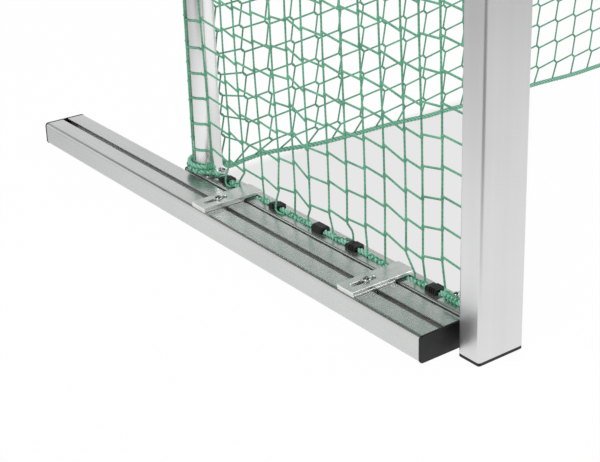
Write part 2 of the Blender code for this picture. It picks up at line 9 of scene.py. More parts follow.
import bpy
import numpy as np
from mathutils import Matrix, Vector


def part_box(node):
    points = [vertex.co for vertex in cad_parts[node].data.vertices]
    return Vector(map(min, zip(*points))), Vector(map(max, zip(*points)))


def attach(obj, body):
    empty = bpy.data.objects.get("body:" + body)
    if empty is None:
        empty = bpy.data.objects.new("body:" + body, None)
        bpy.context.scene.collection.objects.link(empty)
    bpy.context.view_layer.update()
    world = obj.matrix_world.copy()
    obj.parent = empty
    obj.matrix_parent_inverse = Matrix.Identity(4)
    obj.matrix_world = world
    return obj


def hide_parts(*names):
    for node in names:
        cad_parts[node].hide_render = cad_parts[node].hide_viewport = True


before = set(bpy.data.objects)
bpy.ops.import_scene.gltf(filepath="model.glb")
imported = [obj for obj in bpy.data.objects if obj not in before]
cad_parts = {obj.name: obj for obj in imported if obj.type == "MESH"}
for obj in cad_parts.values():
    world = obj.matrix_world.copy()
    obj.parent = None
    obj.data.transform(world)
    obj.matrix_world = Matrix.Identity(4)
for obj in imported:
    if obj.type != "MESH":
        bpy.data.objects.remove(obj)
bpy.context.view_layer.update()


# Room: a pale studio floor that is white to the camera, a broad soft lamp at the left in front of the
# goal, a weaker one at the right, and an even white surround. The camera stands at the photograph's
# place.

CAMERA_PLACE = (-2.077, -1.708, 0.922)
CAMERA_AZIMUTH = 37.22
CAMERA_DOWN = 21.68
CAMERA_ROLL = -1.276
CAMERA_LENS = 83.21
CAMERA_SHIFT = (-0.060, -0.118)
FLOOR_SIZE = 60.0
FLOOR_COLOUR = (0.86, 0.86, 0.86)
FLOOR_SHADOW = 0.03
SURROUND = 0.60
CEILING = 0.05
CEILING_HEIGHTS = (0.41, 0.60)
FLOOR_FADES = (
    ((-0.6, -0.6, 0.0), (0.6, 2.2), (1.0, 0.50)),
    ((-2.3, -1.9, 0.0), (1.0, 1.8), (0.20, 1.0)),
    ((-0.8, -1.75, 0.0), (0.45, 0.80), (0.62, 1.0)),
)
# The painted shade inside the goal's left corner: how deep it is and where its soft edges lie.
PAINTED_GOAL_SHADE = 0.80
SHADE_SIDE = (-0.95, -0.90)
SHADE_REAR = (0.205, 0.250)
SHADE_FRONT = (0.30, 0.40)
SHADE_SLOPE = 0.966


def linked(name, data):
    """A new object in the scene."""
    made = bpy.data.objects.new(name, data)
    bpy.context.scene.collection.objects.link(made)
    return made


def node(tree, kind, sockets, **options):
    """Adds a shader node. A socket takes a value, or the output that is linked to it."""
    made = tree.nodes.new(kind)
    for option, value in options.items():
        setattr(made, option, value)
    for socket, value in sockets.items():
        if isinstance(value, bpy.types.NodeSocket):
            tree.links.new(value, made.inputs[socket])
        else:
            made.inputs[socket].default_value = value
    return made


def ranged(tree, value, start, end, first=0.0, last=1.0, kind="LINEAR"):
    """A value turned into another one: `first` below the start and `last` beyond the end."""
    sockets = {"Value": value, "From Min": start, "From Max": end, "To Min": first, "To Max": last}
    return node(tree, "ShaderNodeMapRange", sockets, interpolation_type=kind).outputs["Result"]


def faded(tree, value, start, end, first=0.0, last=1.0):
    return ranged(tree, value, start, end, first, last, "SMOOTHSTEP")


def combined(tree, operation, first, *others):
    """Combines values by one operation, two at a time from the first to the last."""
    for value in others:
        first = node(tree, "ShaderNodeMath", {0: first, 1: value}, operation=operation).outputs[0]
    return first


def ray_kinds(tree):
    """Which rays a shader meets: the plain view's (camera and transmission), metal's and paint's."""
    rays = node(tree, "ShaderNodeLightPath", {}).outputs
    plain = combined(tree, "MAXIMUM", rays["Is Camera Ray"], rays["Is Transmission Ray"])
    return plain, rays["Is Glossy Ray"], rays["Is Diffuse Ray"]


def new_finish(name, roughness, metallic=0.0):
    """A material with its node tree, its shader's sockets and the object's own coordinates and UV map."""
    finish = bpy.data.materials.new(name)
    finish.use_nodes = True
    tree = finish.node_tree
    shader = tree.nodes["Principled BSDF"].inputs
    shader["Roughness"].default_value = roughness
    shader["Metallic"].default_value = metallic
    places = node(tree, "ShaderNodeTexCoord", {}).outputs
    return finish, tree, shader, places["Object"], places["UV"]


def make_surround():
    """White all round to the camera. In metal it shows white near the horizon and dark overhead, as a room
    does above its softboxes, and its own light is weaker than the lamps'."""
    world = bpy.data.worlds.new("studio surround")
    bpy.context.scene.world = world
    world.use_nodes = True
    tree = world.node_tree
    background = tree.nodes["Background"].inputs
    background["Color"].default_value = (1, 1, 1, 1)
    plain, glossy, diffuse = ray_kinds(tree)
    direction = node(tree, "ShaderNodeTexCoord", {}).outputs["Generated"]
    height = node(tree, "ShaderNodeSeparateXYZ", {0: direction}).outputs[2]
    in_metal = combined(tree, "MULTIPLY", faded(tree, height, *CEILING_HEIGHTS, 1.0, CEILING), glossy)
    shown = combined(tree, "MAXIMUM", in_metal, plain)
    spread = combined(tree, "MULTIPLY", SURROUND, diffuse)
    tree.links.new(combined(tree, "MAXIMUM", shown, spread), background["Strength"])


def make_floor():
    """A floor that shows as white with a faint shadow: mostly a white glow, the rest pale paint. In metal
    its white fades with the distance from the goal, and it is darker where nothing lit stood in front. A
    soft grey shade is painted into the floor's glow inside the goal's left corner."""
    half = FLOOR_SIZE / 2
    corners = [(-half, -half, 0), (half, -half, 0), (half, half, 0), (-half, half, 0)]
    mesh = bpy.data.meshes.new("floor")
    mesh.from_pydata(corners, [], [(0, 1, 2, 3)])
    finish, tree, paint, place, _ = new_finish("studio floor", 0.9)
    paint["Base Color"].default_value = (*FLOOR_COLOUR, 1)
    paint["Specular IOR Level"].default_value = 0.0
    plain, glossy, _ = ray_kinds(tree)
    white = 1.0
    for centre, distances, strengths in FLOOR_FADES:
        away = node(tree, "ShaderNodeVectorMath", {0: place, 1: centre}, operation="DISTANCE").outputs[1]
        white = combined(tree, "MULTIPLY", white, faded(tree, away, *distances, *strengths))
    # Painted shade: inside the goal's left corner the floor's glow is dimmed to a soft grey, with soft edges
    # at the side, the rear and a slanting front.
    x, y = node(tree, "ShaderNodeSeparateXYZ", {0: place}).outputs[:2]
    slanting = combined(tree, "SUBTRACT", y, combined(tree, "MULTIPLY", x, SHADE_SLOPE))
    edges = (
        faded(tree, x, *SHADE_SIDE),
        faded(tree, y, *SHADE_REAR, 1.0, 0.0),
        faded(tree, slanting, *SHADE_FRONT),
    )
    shade = combined(tree, "SUBTRACT", 1.0, combined(tree, "MULTIPLY", *edges, 1.0 - PAINTED_GOAL_SHADE))
    strength = combined(tree, "MULTIPLY", combined(tree, "MAXIMUM", white, plain), shade)
    glow = node(tree, "ShaderNodeEmission", {"Color": (1, 1, 1, 1), "Strength": strength})
    share = combined(tree, "MULTIPLY", combined(tree, "MAXIMUM", plain, glossy), 1.0 - FLOOR_SHADOW)
    painted = tree.nodes["Principled BSDF"].outputs[0]
    mixed = node(tree, "ShaderNodeMixShader", {0: share, 1: painted, 2: glow.outputs[0]})
    tree.links.new(mixed.outputs[0], tree.nodes["Material Output"].inputs["Surface"])
    mesh.materials.append(finish)
    linked("floor", mesh)


def make_lamp(name, place, aim, size, power):
    """A square softbox at a place, turned to shine on a point."""
    light = bpy.data.lights.new(name, "AREA")
    light.size = size
    light.energy = power
    lamp = linked(name, light)
    lamp.location = place
    away = np.subtract(aim, place)
    lamp.rotation_euler = (
        math.atan2(math.hypot(away[0], away[1]), -away[2]),
        0,
        math.atan2(away[1], away[0]) - math.pi / 2,
    )


def make_camera():
    """The shift gives the photograph's framing with its nearly upright verticals."""
    view = bpy.data.cameras.new("camera")
    view.lens = CAMERA_LENS
    view.shift_x, view.shift_y = CAMERA_SHIFT
    view.clip_start, view.clip_end = 0.05, 200
    camera = linked("camera", view)
    bpy.context.scene.camera = camera
    camera.matrix_world = (
        Matrix.Translation(CAMERA_PLACE)
        @ Matrix.Rotation(math.radians(-CAMERA_AZIMUTH), 4, "Z")
        @ Matrix.Rotation(math.radians(90 - CAMERA_DOWN), 4, "X")
        @ Matrix.Rotation(math.radians(CAMERA_ROLL), 4, "Z")
    )


bpy.context.scene.view_settings.view_transform = "Standard"
make_surround()
make_floor()
make_lamp("key light", (-3.6, -1.2, 4.2), (-0.8, 0.0, 0.3), 2.4, 95)
make_lamp("side light", (3.2, -2.6, 3.6), (0.0, 0.0, 0.4), 2.4, 70)
make_camera()


# Back rope: a 9 mm three-strand polypropylene rope that lies on the ground from one hoop's foot to the
# other's. It is tied in with the side ropes behind the hoops, and the net's lower edge is threaded on it.

post_low, post_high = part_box("post_right")
HALF_WIDTH = post_high.x
FRONT = post_low.y
ROPE_RADIUS = 0.0045
ROPE_LAY = 0.024
ROPE_GROUND = ROPE_RADIUS + 0.0002
ROPE_STEP = 0.0020
# The rope's dark and light colours: the dark one is also the painted shade in the grooves between the strands.
ROPE_TONES_AND_GROOVE_SHADE = ((0.095, 0.380, 0.245), (0.370, 0.760, 0.560))
YARN_SCALE = (46, 60, 1)
TAIL = (0.0588, 0.7521, 0.0639)
KNOT_REACH = (0.0003, 0.0073)
LEFT_RISE = ((0.077, 0.7528, 0.0610), (0.093, 0.758, 0.049), (0.108, 0.768, 0.030), (0.125, 0.781, 0.0125))
ON_GROUND = (
    ((0.146, 0.792), (0.181, 0.800), (0.220, 0.803), (0.260, 0.795), (0.300, 0.783), (0.340, 0.776))
    + ((0.390, 0.773), (0.480, 0.770), (0.530, 0.765), (0.578, 0.758), (0.630, 0.759), (0.700, 0.755))
    + ((0.800, 0.757), (0.885, 0.757), (0.968, 0.752), (1.040, 0.755), (1.120, 0.760), (1.240, 0.758))
    + ((1.360, 0.762), (1.460, 0.768), (1.550, 0.772), (1.630, 0.779), (1.700, 0.790), (1.755, 0.798))
    + ((1.796, 0.796),)
)
RIGHT_RISE = ((1.824, 0.786, 0.0115), (1.847, 0.771, 0.029), (1.866, 0.759, 0.048), (1.882, 0.7529, 0.0607))
BACK_ROUTE = np.array(
    [(TAIL[0] + reach, *TAIL[1:]) for reach in KNOT_REACH]
    + [*LEFT_RISE, *((across, back, ROPE_GROUND) for across, back in ON_GROUND), *RIGHT_RISE]
    + [(2 * HALF_WIDTH - TAIL[0] - reach, *TAIL[1:]) for reach in KNOT_REACH[::-1]]
)


def spot(side, across, back, up):
    """World points for places given from one side's post: -1 is the left side and 1 the right one."""
    x = side * (HALF_WIDTH - np.asarray(across, float))
    return np.stack(np.broadcast_arrays(x, FRONT + np.asarray(back, float), up), axis=-1)


def unit(vectors):
    return vectors / np.linalg.norm(vectors, axis=-1, keepdims=True)


def circle_angles(count):
    return 2 * math.pi * np.arange(count) / count


def distance_along(points):
    """How far each point lies from the first one along the line through them all."""
    return np.concatenate([[0], np.cumsum(np.linalg.norm(np.diff(points, axis=0), axis=1))])


def points_at(path, distances):
    along = distance_along(path)
    return np.stack([np.interp(distances, along, path[:, k]) for k in range(3)], axis=1)


def smooth_path(route, spacing):
    """Evenly spaced points on a curve through the route: each stretch is the cubic whose slope at a point
    is half the way from the point before to the one after."""
    ends = np.vstack([2 * route[0] - route[1], route, 2 * route[-1] - route[-2]])
    before, start, end, after = (ends[k : k + len(route) - 1, None, :] for k in range(4))
    t = np.linspace(0, 1, 12, endpoint=False)[None, :, None]
    stretch = 0.5 * (
        2 * start
        + (end - before) * t
        + (2 * before - 5 * start + 4 * end - after) * t**2
        + (3 * start - before - 3 * end + after) * t**3
    )
    points = np.vstack([stretch.reshape(-1, 3), route[-1]])
    length = distance_along(points)[-1]
    return points_at(points, np.linspace(0, length, round(length / spacing) + 1))


def rings_round(path, radius, facing, around=6, turn=0.0):
    """Rings of points square to a path. The first point of each ring lies on the side that faces `facing`.
    The radius may differ from ring to ring, or from point to point when it has both axes."""
    along = unit(np.gradient(path, axis=0))
    beside = unit(np.cross(along, facing))
    out = np.cross(beside, along)
    angle = circle_angles(around) + np.reshape(turn, (-1, 1))
    reach = np.reshape(radius, (-1, 1)) if np.ndim(radius) < 2 else radius
    outwards = (reach * np.cos(angle))[..., None] * out[:, None, :]
    return path[:, None, :] + outwards + (reach * np.sin(angle))[..., None] * beside[:, None, :]


def laid_rope(path, radius, around=24):
    """Rings of a rope of three twisted strands. Its section is the outline of three overlapping circles,
    which turns once round in each length of lay, and its ends are sealed to a blunt point."""
    strand, offset = 0.53 * radius, 0.47 * radius
    along = distance_along(path)
    twisted = circle_angles(around) - 2 * math.pi * along[:, None] / ROPE_LAY
    lobe = (twisted + math.pi / 3) % (2 * math.pi / 3) - math.pi / 3
    reach = offset * np.cos(lobe) + np.sqrt(strand**2 - (offset * np.sin(lobe)) ** 2)
    from_end = np.minimum(along, along[-1] - along)[:, None] / radius
    reach *= np.sqrt(np.clip(1 - (1 - from_end.clip(0.1, 1)) ** 2, 0, 1))
    return rings_round(path, reach, (0, 0, 1), around)


def add_piece(name, shells, look, body="frame", replaced=(), closed=False, crease=38):
    """Makes one mesh piece from shells and hangs it on its body. A look is a finish and the name of its
    slot; the slot's name is not used. A shell is an array of rings of points (ring, point, xyz). Quads join
    each ring to the next. The first and last rings are filled in, or joined to each other when closed. The
    UV map has the way round the ring as u, from 0 to 1, and the way along the rings as v, in metres."""
    finish, slot = look
    points, faces, corner_uv, first = [], [], [], 0
    for rings in shells:
        count, around = rings.shape[:2]
        ring = np.arange(count if closed else count - 1)[:, None]
        step = np.arange(around)[None, :]
        ahead, beside = (ring + 1) % count, (step + 1) % around
        corners = ((ring, step), (ring, beside), (ahead, beside), (ahead, step))
        quads = np.stack([row * around + place for row, place in corners], axis=-1).reshape(-1, 4)
        flat = rings.reshape(-1, 3)
        middle = flat.mean(axis=0)
        length = distance_along(rings.mean(axis=1))
        near, far = length[ring], length[ahead]
        u = np.stack([step, step + 1, step + 1, step], axis=-1) / around
        v = np.stack([near, near, far, far], axis=-1)
        uv = np.stack(np.broadcast_arrays(u, v), axis=-1).reshape(-1, 2)
        a, b, c, d = (flat[quads[:, k]] - middle for k in range(4))
        volume = (a * np.cross(b, c)).sum() + (a * np.cross(c, d)).sum()
        if not closed:
            for sign, loop in ((-1, rings[0] - middle), (1, rings[-1] - middle)):
                volume += sign * (loop[0] * np.cross(loop[1:-1], loop[2:])).sum()
        flip = volume < 0
        if flip:
            quads, uv = quads[:, ::-1], uv.reshape(-1, 4, 2)[:, ::-1].reshape(-1, 2)
        faces += (quads + first).tolist()
        corner_uv.append(uv)
        if not closed:
            start = np.arange(around)[:: 1 if flip else -1]
            end = start[::-1] + (count - 1) * around
            faces += [(start + first).tolist(), (end + first).tolist()]
            for loop in (start, end):
                corner_uv.append(np.stack([(loop % around) / around, length[loop // around]], axis=-1))
        points.append(flat)
        first += len(flat)
    mesh = bpy.data.meshes.new(name)
    mesh.from_pydata(np.vstack(points).tolist(), [], faces)
    mesh.uv_layers.new(name="UVMap").data.foreach_set("uv", np.vstack(corner_uv).astype(np.float32).ravel())
    mesh.materials.append(finish)
    mesh.shade_smooth()
    mesh.set_sharp_from_angle(angle=math.radians(crease))
    piece = linked(name, mesh)
    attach(piece, body)
    if replaced:
        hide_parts(*replaced)
    return piece


def stand_in(cad, word, shells, look, body="frame", **options):
    """Adds the piece that replaces a CAD node and is named after it."""
    return add_piece(f"{cad}_{word}", shells, look, body, [cad], **options)


def noise(tree, vector, scale, detail):
    sockets = {"Vector": vector, "Scale": scale, "Detail": detail}
    return node(tree, "ShaderNodeTexNoise", sockets).outputs["Fac"]


def stretched(tree, vector, scale):
    return node(tree, "ShaderNodeMapping", {"Vector": vector, "Scale": scale}).outputs[0]


def set_colour(tree, shader, share, dark, light):
    sockets = {0: share, 6: (*dark, 1), 7: (*light, 1)}
    mix = node(tree, "ShaderNodeMix", sockets, data_type="RGBA", clamp_factor=True)
    tree.links.new(mix.outputs[2], shader["Base Color"])


def set_relief(tree, shader, height, strength, distance):
    bump = node(tree, "ShaderNodeBump", {"Height": height, "Strength": strength, "Distance": distance})
    tree.links.new(bump.outputs[0], shader["Normal"])


def rope_look():
    """Green split-film yarn: painted shade where the three strands meet, and fine yarns that run along the
    rope.
    """
    finish, tree, shader, _, uv = new_finish("green laid rope", 0.55)
    u, v = node(tree, "ShaderNodeSeparateXYZ", {0: uv}).outputs[:2]
    # Painted shade: the colour darkens towards the grooves where the three strands meet and lightens on each
    # strand's crest.
    slant = combined(tree, "MULTIPLY", v, 3.0 / ROPE_LAY)
    thirds = combined(tree, "SUBTRACT", combined(tree, "MULTIPLY", u, 3.0), slant)
    crest_free_of_painted_shade = combined(tree, "PINGPONG", combined(tree, "ADD", thirds, 0.5), 0.5)
    yarns = noise(tree, stretched(tree, uv, YARN_SCALE), 1.0, 3.0)
    uneven = combined(tree, "SUBTRACT", yarns, 0.45)
    share = combined(tree, "ADD", combined(tree, "MULTIPLY", crest_free_of_painted_shade, 1.5), uneven)
    set_colour(tree, shader, share, *ROPE_TONES_AND_GROOVE_SHADE)
    set_relief(tree, shader, yarns, 0.5, 0.0008)
    shader["Sheen Weight"].default_value = 0.25
    return finish, "green_rope"


ROPE = rope_look()
back_path = smooth_path(spot(-1, *BACK_ROUTE.T), ROPE_STEP)
back_path[:, 2] = back_path[:, 2].clip(ROPE_GROUND)
back_rope = stand_in("back_rope", "laid", [laid_rope(back_path, ROPE_RADIUS)], ROPE)


# Posts and crossbar: an extruded aluminium section of 80 x 40 mm with rounded edges, brushed along its
# length and clear anodised, mitred at the top corners. A flat black plastic cap closes the foot of each
# post.

SIDES = {"left": -1, "right": 1}
POST_WIDTH = post_high.x - post_low.x
POST_DEPTH = post_high.y - post_low.y
POST_CORNER = 0.004
POST_TOP = post_high.z
MITRE_GAP = 0.0005
FLAT_POINT = 0.0004
CAP_EDGE = 0.0007
SMALL_GAP = 0.0003
FRAME_COLOUR = ((0.705, 0.705, 0.71), (0.765, 0.765, 0.77))
PLASTIC_COLOUR = ((0.005, 0.005, 0.006), (0.012, 0.012, 0.013))


def set_gloss(tree, shader, value, start, end, first, last):
    tree.links.new(ranged(tree, value, start, end, first, last), shader["Roughness"])


def brushed_look(name, slot, colours, grain, roughness, coarse, fine=420.0, relief=0.15):
    """Brushed aluminium. The grain's stretch is how much longer the brush lines are along each axis. Broad
    and fine lines lighten and darken it, change its gloss and stand out a little."""
    finish, tree, shader, place, _ = new_finish(name, roughness, 0.92)
    broad, lines = (
        noise(tree, stretched(tree, place, tuple(scale / stretch for stretch in grain)), 1.0, detail)
        for scale, detail in ((coarse, 3.0), (fine, 5.0))
    )
    clouds = combined(tree, "ADD", broad, noise(tree, place, 7.0, 2.0))
    tone = combined(tree, "MULTIPLY", clouds, 0.75)
    tone = combined(tree, "ADD", tone, combined(tree, "MULTIPLY", lines, 0.20))
    set_colour(tree, shader, ranged(tree, tone, 0.56, 1.10), *colours)
    set_gloss(tree, shader, lines, 0.3, 0.7, roughness - 0.02, roughness + 0.03)
    set_relief(tree, shader, lines, relief, 0.0003)
    return finish, slot


def plastic_look():
    """Moulded black plastic with a fine satin grain and faint rubbed places."""
    finish, tree, shader, place, _ = new_finish("black plastic", 0.42)
    shader["Specular IOR Level"].default_value = 0.35
    rubbed = noise(tree, place, 60.0, 4.0)
    set_colour(tree, shader, rubbed, *PLASTIC_COLOUR)
    set_gloss(tree, shader, rubbed, 0.3, 0.7, 0.34, 0.52)
    set_relief(tree, shader, noise(tree, place, 2400.0, 2.0), 0.25, 0.0002)
    return finish, "black_plastic"


def outline(corners, steps=5):
    """A closed outline round corners given as (x, y, radius). Each corner's arc has its centre on the line
    that halves the corner, as far in as makes it touch both edges. A point on the flat just beside each
    end of an arc keeps the shading of the flat level."""
    at, radius = np.array(corners, float)[:, :2], np.array(corners, float)[:, 2:]
    back, ahead = unit(np.roll(at, 1, axis=0) - at), unit(np.roll(at, -1, axis=0) - at)
    half = np.arccos((back * ahead).sum(axis=1, keepdims=True).clip(-1, 1)) / 2
    centre = at + unit(back + ahead) * radius / np.sin(half)
    first, last = at + back * radius / np.tan(half) - centre, at + ahead * radius / np.tan(half) - centre
    start = np.arctan2(first[:, 1], first[:, 0])
    sweep = (np.arctan2(last[:, 1], last[:, 0]) - start + math.pi) % (2 * math.pi) - math.pi
    angle = start[:, None] + sweep[:, None] * np.linspace(0, 1, steps + 1)
    arcs = centre[:, None] + radius[:, None] * np.stack([np.cos(angle), np.sin(angle)], axis=-1)
    flat_before = np.linalg.norm(arcs[:, 0] - np.roll(arcs[:, -1], 1, axis=0), axis=1, keepdims=True)
    flat_after = np.roll(flat_before, -1, axis=0)
    before = arcs[:, 0] + back * np.minimum(flat_before / 4, FLAT_POINT)
    after = arcs[:, -1] + ahead * np.minimum(flat_after / 4, FLAT_POINT)
    return np.concatenate([before[:, None], arcs, after[:, None]], axis=1).reshape(-1, 2)


def rectangle(width, height, radius, middle=(0.0, 0.0), steps=5):
    x, y = middle
    w, h = width / 2, height / 2
    return outline([(x + i * w, y + j * h, radius) for i, j in ((-1, -1), (1, -1), (1, 1), (-1, 1))], steps)


def inset(section, by):
    """A section drawn in by a small distance: each point moves square to the line between its neighbours."""
    along = unit(np.roll(section, -1, axis=0) - np.roll(section, 1, axis=0))
    return section - by * np.stack([along[:, 1], -along[:, 0]], axis=1)


def bar(section, start, end, place, edge=0.0004):
    """Rings of a straight bar with its ends' edges broken. The section's points go anticlockwise, the ends
    may be slanted (one value for each point), and place turns (x, y, distance along) into world points."""
    drawn_in = inset(section, edge)
    stations = ((drawn_in, start), (section, start + edge), (section, end - edge), (drawn_in, end))
    return np.stack([place(loop[:, 0], loop[:, 1], at) for loop, at in stations])


UPRIGHT = brushed_look(
    "brushed aluminium, upright", "frame_aluminium", FRAME_COLOUR, (1, 1, 300), 0.31, 40.0, relief=0.02
)
SIDEWAYS = brushed_look(
    "brushed aluminium, along the bar", "frame_aluminium", FRAME_COLOUR, (300, 1, 1), 0.26, 40.0, relief=0.03
)
PLASTIC = plastic_look()
post_section = rectangle(POST_WIDTH, POST_DEPTH, POST_CORNER)
mitre = POST_TOP - (post_section[:, 0] + POST_WIDTH / 2)

for label, side in SIDES.items():
    post, cap = "post_" + label, "foot_cap_" + label
    cap_low, cap_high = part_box(cap)

    def in_post(x, y, up, side=side):
        return spot(side, POST_WIDTH / 2 + x, POST_DEPTH / 2 + y, up)

    stand_in(post, "brushed", [bar(post_section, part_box(post)[0].z, mitre, in_post)], UPRIGHT)
    stand_in(cap, "moulded", [bar(post_section, cap_low.z, cap_high.z, in_post, CAP_EDGE)], PLASTIC)


def in_crossbar(y, z, x):
    places = np.broadcast_arrays(x, FRONT + POST_DEPTH / 2 + y, POST_TOP - POST_WIDTH / 2 + z)
    return np.stack(places, axis=-1)


bar_section = rectangle(POST_DEPTH, POST_WIDTH, POST_CORNER)
bar_end = HALF_WIDTH - MITRE_GAP - (POST_WIDTH / 2 - bar_section[:, 1])
stand_in("crossbar", "brushed", [bar(bar_section, -bar_end, bar_end, in_crossbar)], SIDEWAYS)


# Ground rails: a 40 mm square extrusion with an undercut groove along its top for the net clips. Each butts
# on the back of its post, and a black plastic cap closes its rear end.

RAIL_ACROSS = 0.0485
RAIL_CORNER = 0.0025
GROOVE = {"mouth": 0.011, "width": 0.018, "depth": 0.010, "lip": 0.003}
SHARP = 0.0003
rail_low, rail_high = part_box("ground_rail_left")
RAIL_SIZE = rail_high.z - rail_low.z
RAIL_TOP = rail_high.z
RAIL_MIDDLE = (rail_low.z + rail_high.z) / 2
EXTRUSION_COLOUR = ((0.57, 0.580, 0.573), (0.66, 0.670, 0.662))


def slotted_section(width, height, corner, slot):
    """A box section whose top has an undercut slot, round its own middle."""
    side, top = width / 2, height / 2
    under = top - slot["lip"]
    right = [
        (slot["mouth"] / 2, top, 0.0006),
        (slot["mouth"] / 2, under, SHARP),
        (slot["width"] / 2, under, SHARP),
        (slot["width"] / 2, under - slot["depth"], SHARP),
    ]
    left = [(-x, y, radius) for x, y, radius in right[::-1]]
    foot = [(-side, -top, corner), (side, -top, corner)]
    return outline([*foot, (side, top, corner), *right, *left, (-side, top, corner)])


def end_cap(cad, corner, place):
    """Rings of a cap that fills a CAD cap's box."""
    low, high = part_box(cad)
    section = rectangle(high.x - low.x, high.z - low.z, corner)
    return bar(section, low.y - FRONT, high.y - FRONT, place, CAP_EDGE)


BACKWARDS = brushed_look(
    "mill finish extrusion", "frame_aluminium", EXTRUSION_COLOUR, (1, 260, 1), 0.27, 45.0, relief=0.02
)
rail_section = slotted_section(RAIL_SIZE, RAIL_SIZE, RAIL_CORNER, GROOVE)

for label, side in SIDES.items():
    rail, cap = "ground_rail_" + label, "rail_end_cap_" + label
    low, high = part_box(rail)

    def in_rail(x, y, back, side=side):
        return spot(side, RAIL_ACROSS + x, back, RAIL_MIDDLE + y)

    stand_in(rail, "extruded", [bar(rail_section, low.y - FRONT, high.y - FRONT, in_rail)], BACKWARDS)
    stand_in(cap, "moulded", [end_cap(cap, RAIL_CORNER, in_rail)], PLASTIC)


# Corner brackets: a cut length of aluminium angle, its upright leg on the back of the post and its foot on
# the rail. A domed stainless socket screw and its washer hold the foot down, and two more hold the leg to
# the post.

BRACKET_ACROSS = RAIL_ACROSS + 0.0005
BRACKET_THICKNESS = 0.0052
BRACKET_SCREW = (0.0535, 0.103)
UPRIGHT_SCREWS = (0.068, 0.098)
SCREW = {"head": 0.0053, "height": 0.0033, "socket": 0.0023, "shank": 0.003, "length": 0.014}
FOOT_SCREW_HEIGHT = 0.0042
WASHER = {"radius": 0.0068, "thickness": 0.0014}
STEEL_COLOUR = ((0.42, 0.42, 0.43), (0.66, 0.66, 0.67))
PLATE_COLOUR = ((0.68, 0.69, 0.68), (0.86, 0.87, 0.86))


def button_screw(place, head, height, socket, shank, length, around=48):
    """A domed head with a hexagon socket over a plain shank. The socket's radius at an angle is its flat's
    distance over the cosine of the angle from the flat's middle, and the dome's rings run from it to the
    round rim."""
    angle = circle_angles(around)
    hexagon = socket * math.cos(math.pi / 6) / np.cos(angle % (math.pi / 3) - math.pi / 6)
    rim, floor = 0.25 * height, 0.40 * height
    rings = [(hexagon * 0.5, floor - 0.0002), (hexagon, floor), (hexagon, height * 0.90)]
    for share in np.linspace(0, 1, 9):
        radius = hexagon * 1.12 + (head - hexagon * 1.12) * share
        rings.append((radius, rim + (height - rim) * np.sqrt(np.clip(1 - (radius / head) ** 2, 0, 1))))
    rings += [(head, rim * 0.3), (head - 0.0003, 0.0), (shank, 0.0)]
    rings += [(shank, 0.0007 - length), (shank * 0.7, -length)]
    x, y = np.cos(angle), np.sin(angle)
    return np.stack([place(r * x, r * y, np.broadcast_to(z, around)) for r, z in rings])


def steel_look():
    """Bright stainless steel with faint turning marks and handling marks."""
    finish, tree, shader, place, _ = new_finish("stainless steel", 0.2, 1.0)
    marks = noise(tree, place, 420.0, 4.0)
    set_colour(tree, shader, marks, *STEEL_COLOUR)
    set_gloss(tree, shader, marks, 0.0, 1.0, 0.12, 0.30)
    return finish, "stainless"


PLATE = brushed_look("cut aluminium plate", "plate_aluminium", PLATE_COLOUR, (25, 1, 1), 0.30, 90.0, 700.0)
STEEL = steel_look()
washer_turn = circle_angles(40)
washer = WASHER["radius"] * np.stack([np.cos(washer_turn), np.sin(washer_turn)], axis=1)

for label, side in SIDES.items():
    bracket, bolt = "corner_bracket_" + label, "bracket_bolt_" + label
    low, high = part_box(bracket)
    start, base, deep, top = low.y - FRONT, low.z, high.y - low.y, high.z - low.z
    half = (high.x - low.x) / 2
    thick = BRACKET_THICKNESS
    angle_section = outline(
        [(0, 0, SHARP), (deep, 0, SHARP), (deep, thick, 0.001)]
        + [(thick, thick, 0.003), (thick, top, 0.001), (0, top, SHARP)]
    )
    washer_base = base + thick + SMALL_GAP

    def in_bracket(x, y, across, side=side):
        return spot(side, BRACKET_ACROSS + across, start + x, base + y)

    def on_foot(x, y, up, side=side):
        return spot(side, BRACKET_SCREW[0] + x, BRACKET_SCREW[1] + y, washer_base + up)

    foot_screw = button_screw(
        lambda x, y, z: on_foot(x, y, WASHER["thickness"] + z), **{**SCREW, "height": FOOT_SCREW_HEIGHT}
    )
    leg_screws = [
        button_screw(lambda x, y, z: in_bracket(thick + z, up + y, x), **{**SCREW, "length": thick})
        for up in UPRIGHT_SCREWS
    ]
    stand_in(bracket, "cut", [bar(angle_section, -half, half, in_bracket)], PLATE)
    stand_in(bolt, "domed", [bar(washer, 0.0, WASHER["thickness"], on_foot, 0.0002), foot_screw], STEEL)
    add_piece("bracket_post_screws_" + label, leg_screws, STEEL)


# Net hoops: a drawn aluminium tube of 50 mm, upright at the rear end of the rail and bent forward to the
# post's corner, where it is welded on. It stands on a small aluminium foot plate that two screws hold to
# the rail.

TUBE_RADIUS = 0.025
HOOP_ACROSS = 0.0498
HOOP_BACK = 0.722
HOOP_TOP = 1.240
HOOP_BEND = 0.150
BEAD = 0.0022
FOOT_SCREWS = ((0.0645, 0.6965), (0.0645, 0.7475))
TUBE_COLOUR = ((0.82, 0.82, 0.82), (0.93, 0.93, 0.93))
BEND_BACK = HOOP_BACK - HOOP_BEND
BEND_START = HOOP_TOP - HOOP_BEND
hoop_foot_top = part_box("net_hoop_left")[0].z


def bend_turn(length, reach):
    """How far round its bend a hoop has turned at a length: from 0 at the bend's start to a quarter turn."""
    return np.clip((length - BEND_START) / (HOOP_BEND + reach), 0, math.pi / 2)


def hoop_line(length, reach=0.0):
    """(back, up) of points on a hoop: up to the bend, round a quarter circle, and then forward. Length is
    measured from the ground on the line at `reach` outside the tube's middle."""
    radius = HOOP_BEND + reach
    turn = bend_turn(length, reach)
    forward = np.clip(length - BEND_START - radius * math.pi / 2, 0, None)
    back = BEND_BACK + radius * np.cos(turn) - forward
    return back, np.minimum(length, BEND_START) + radius * np.sin(turn)


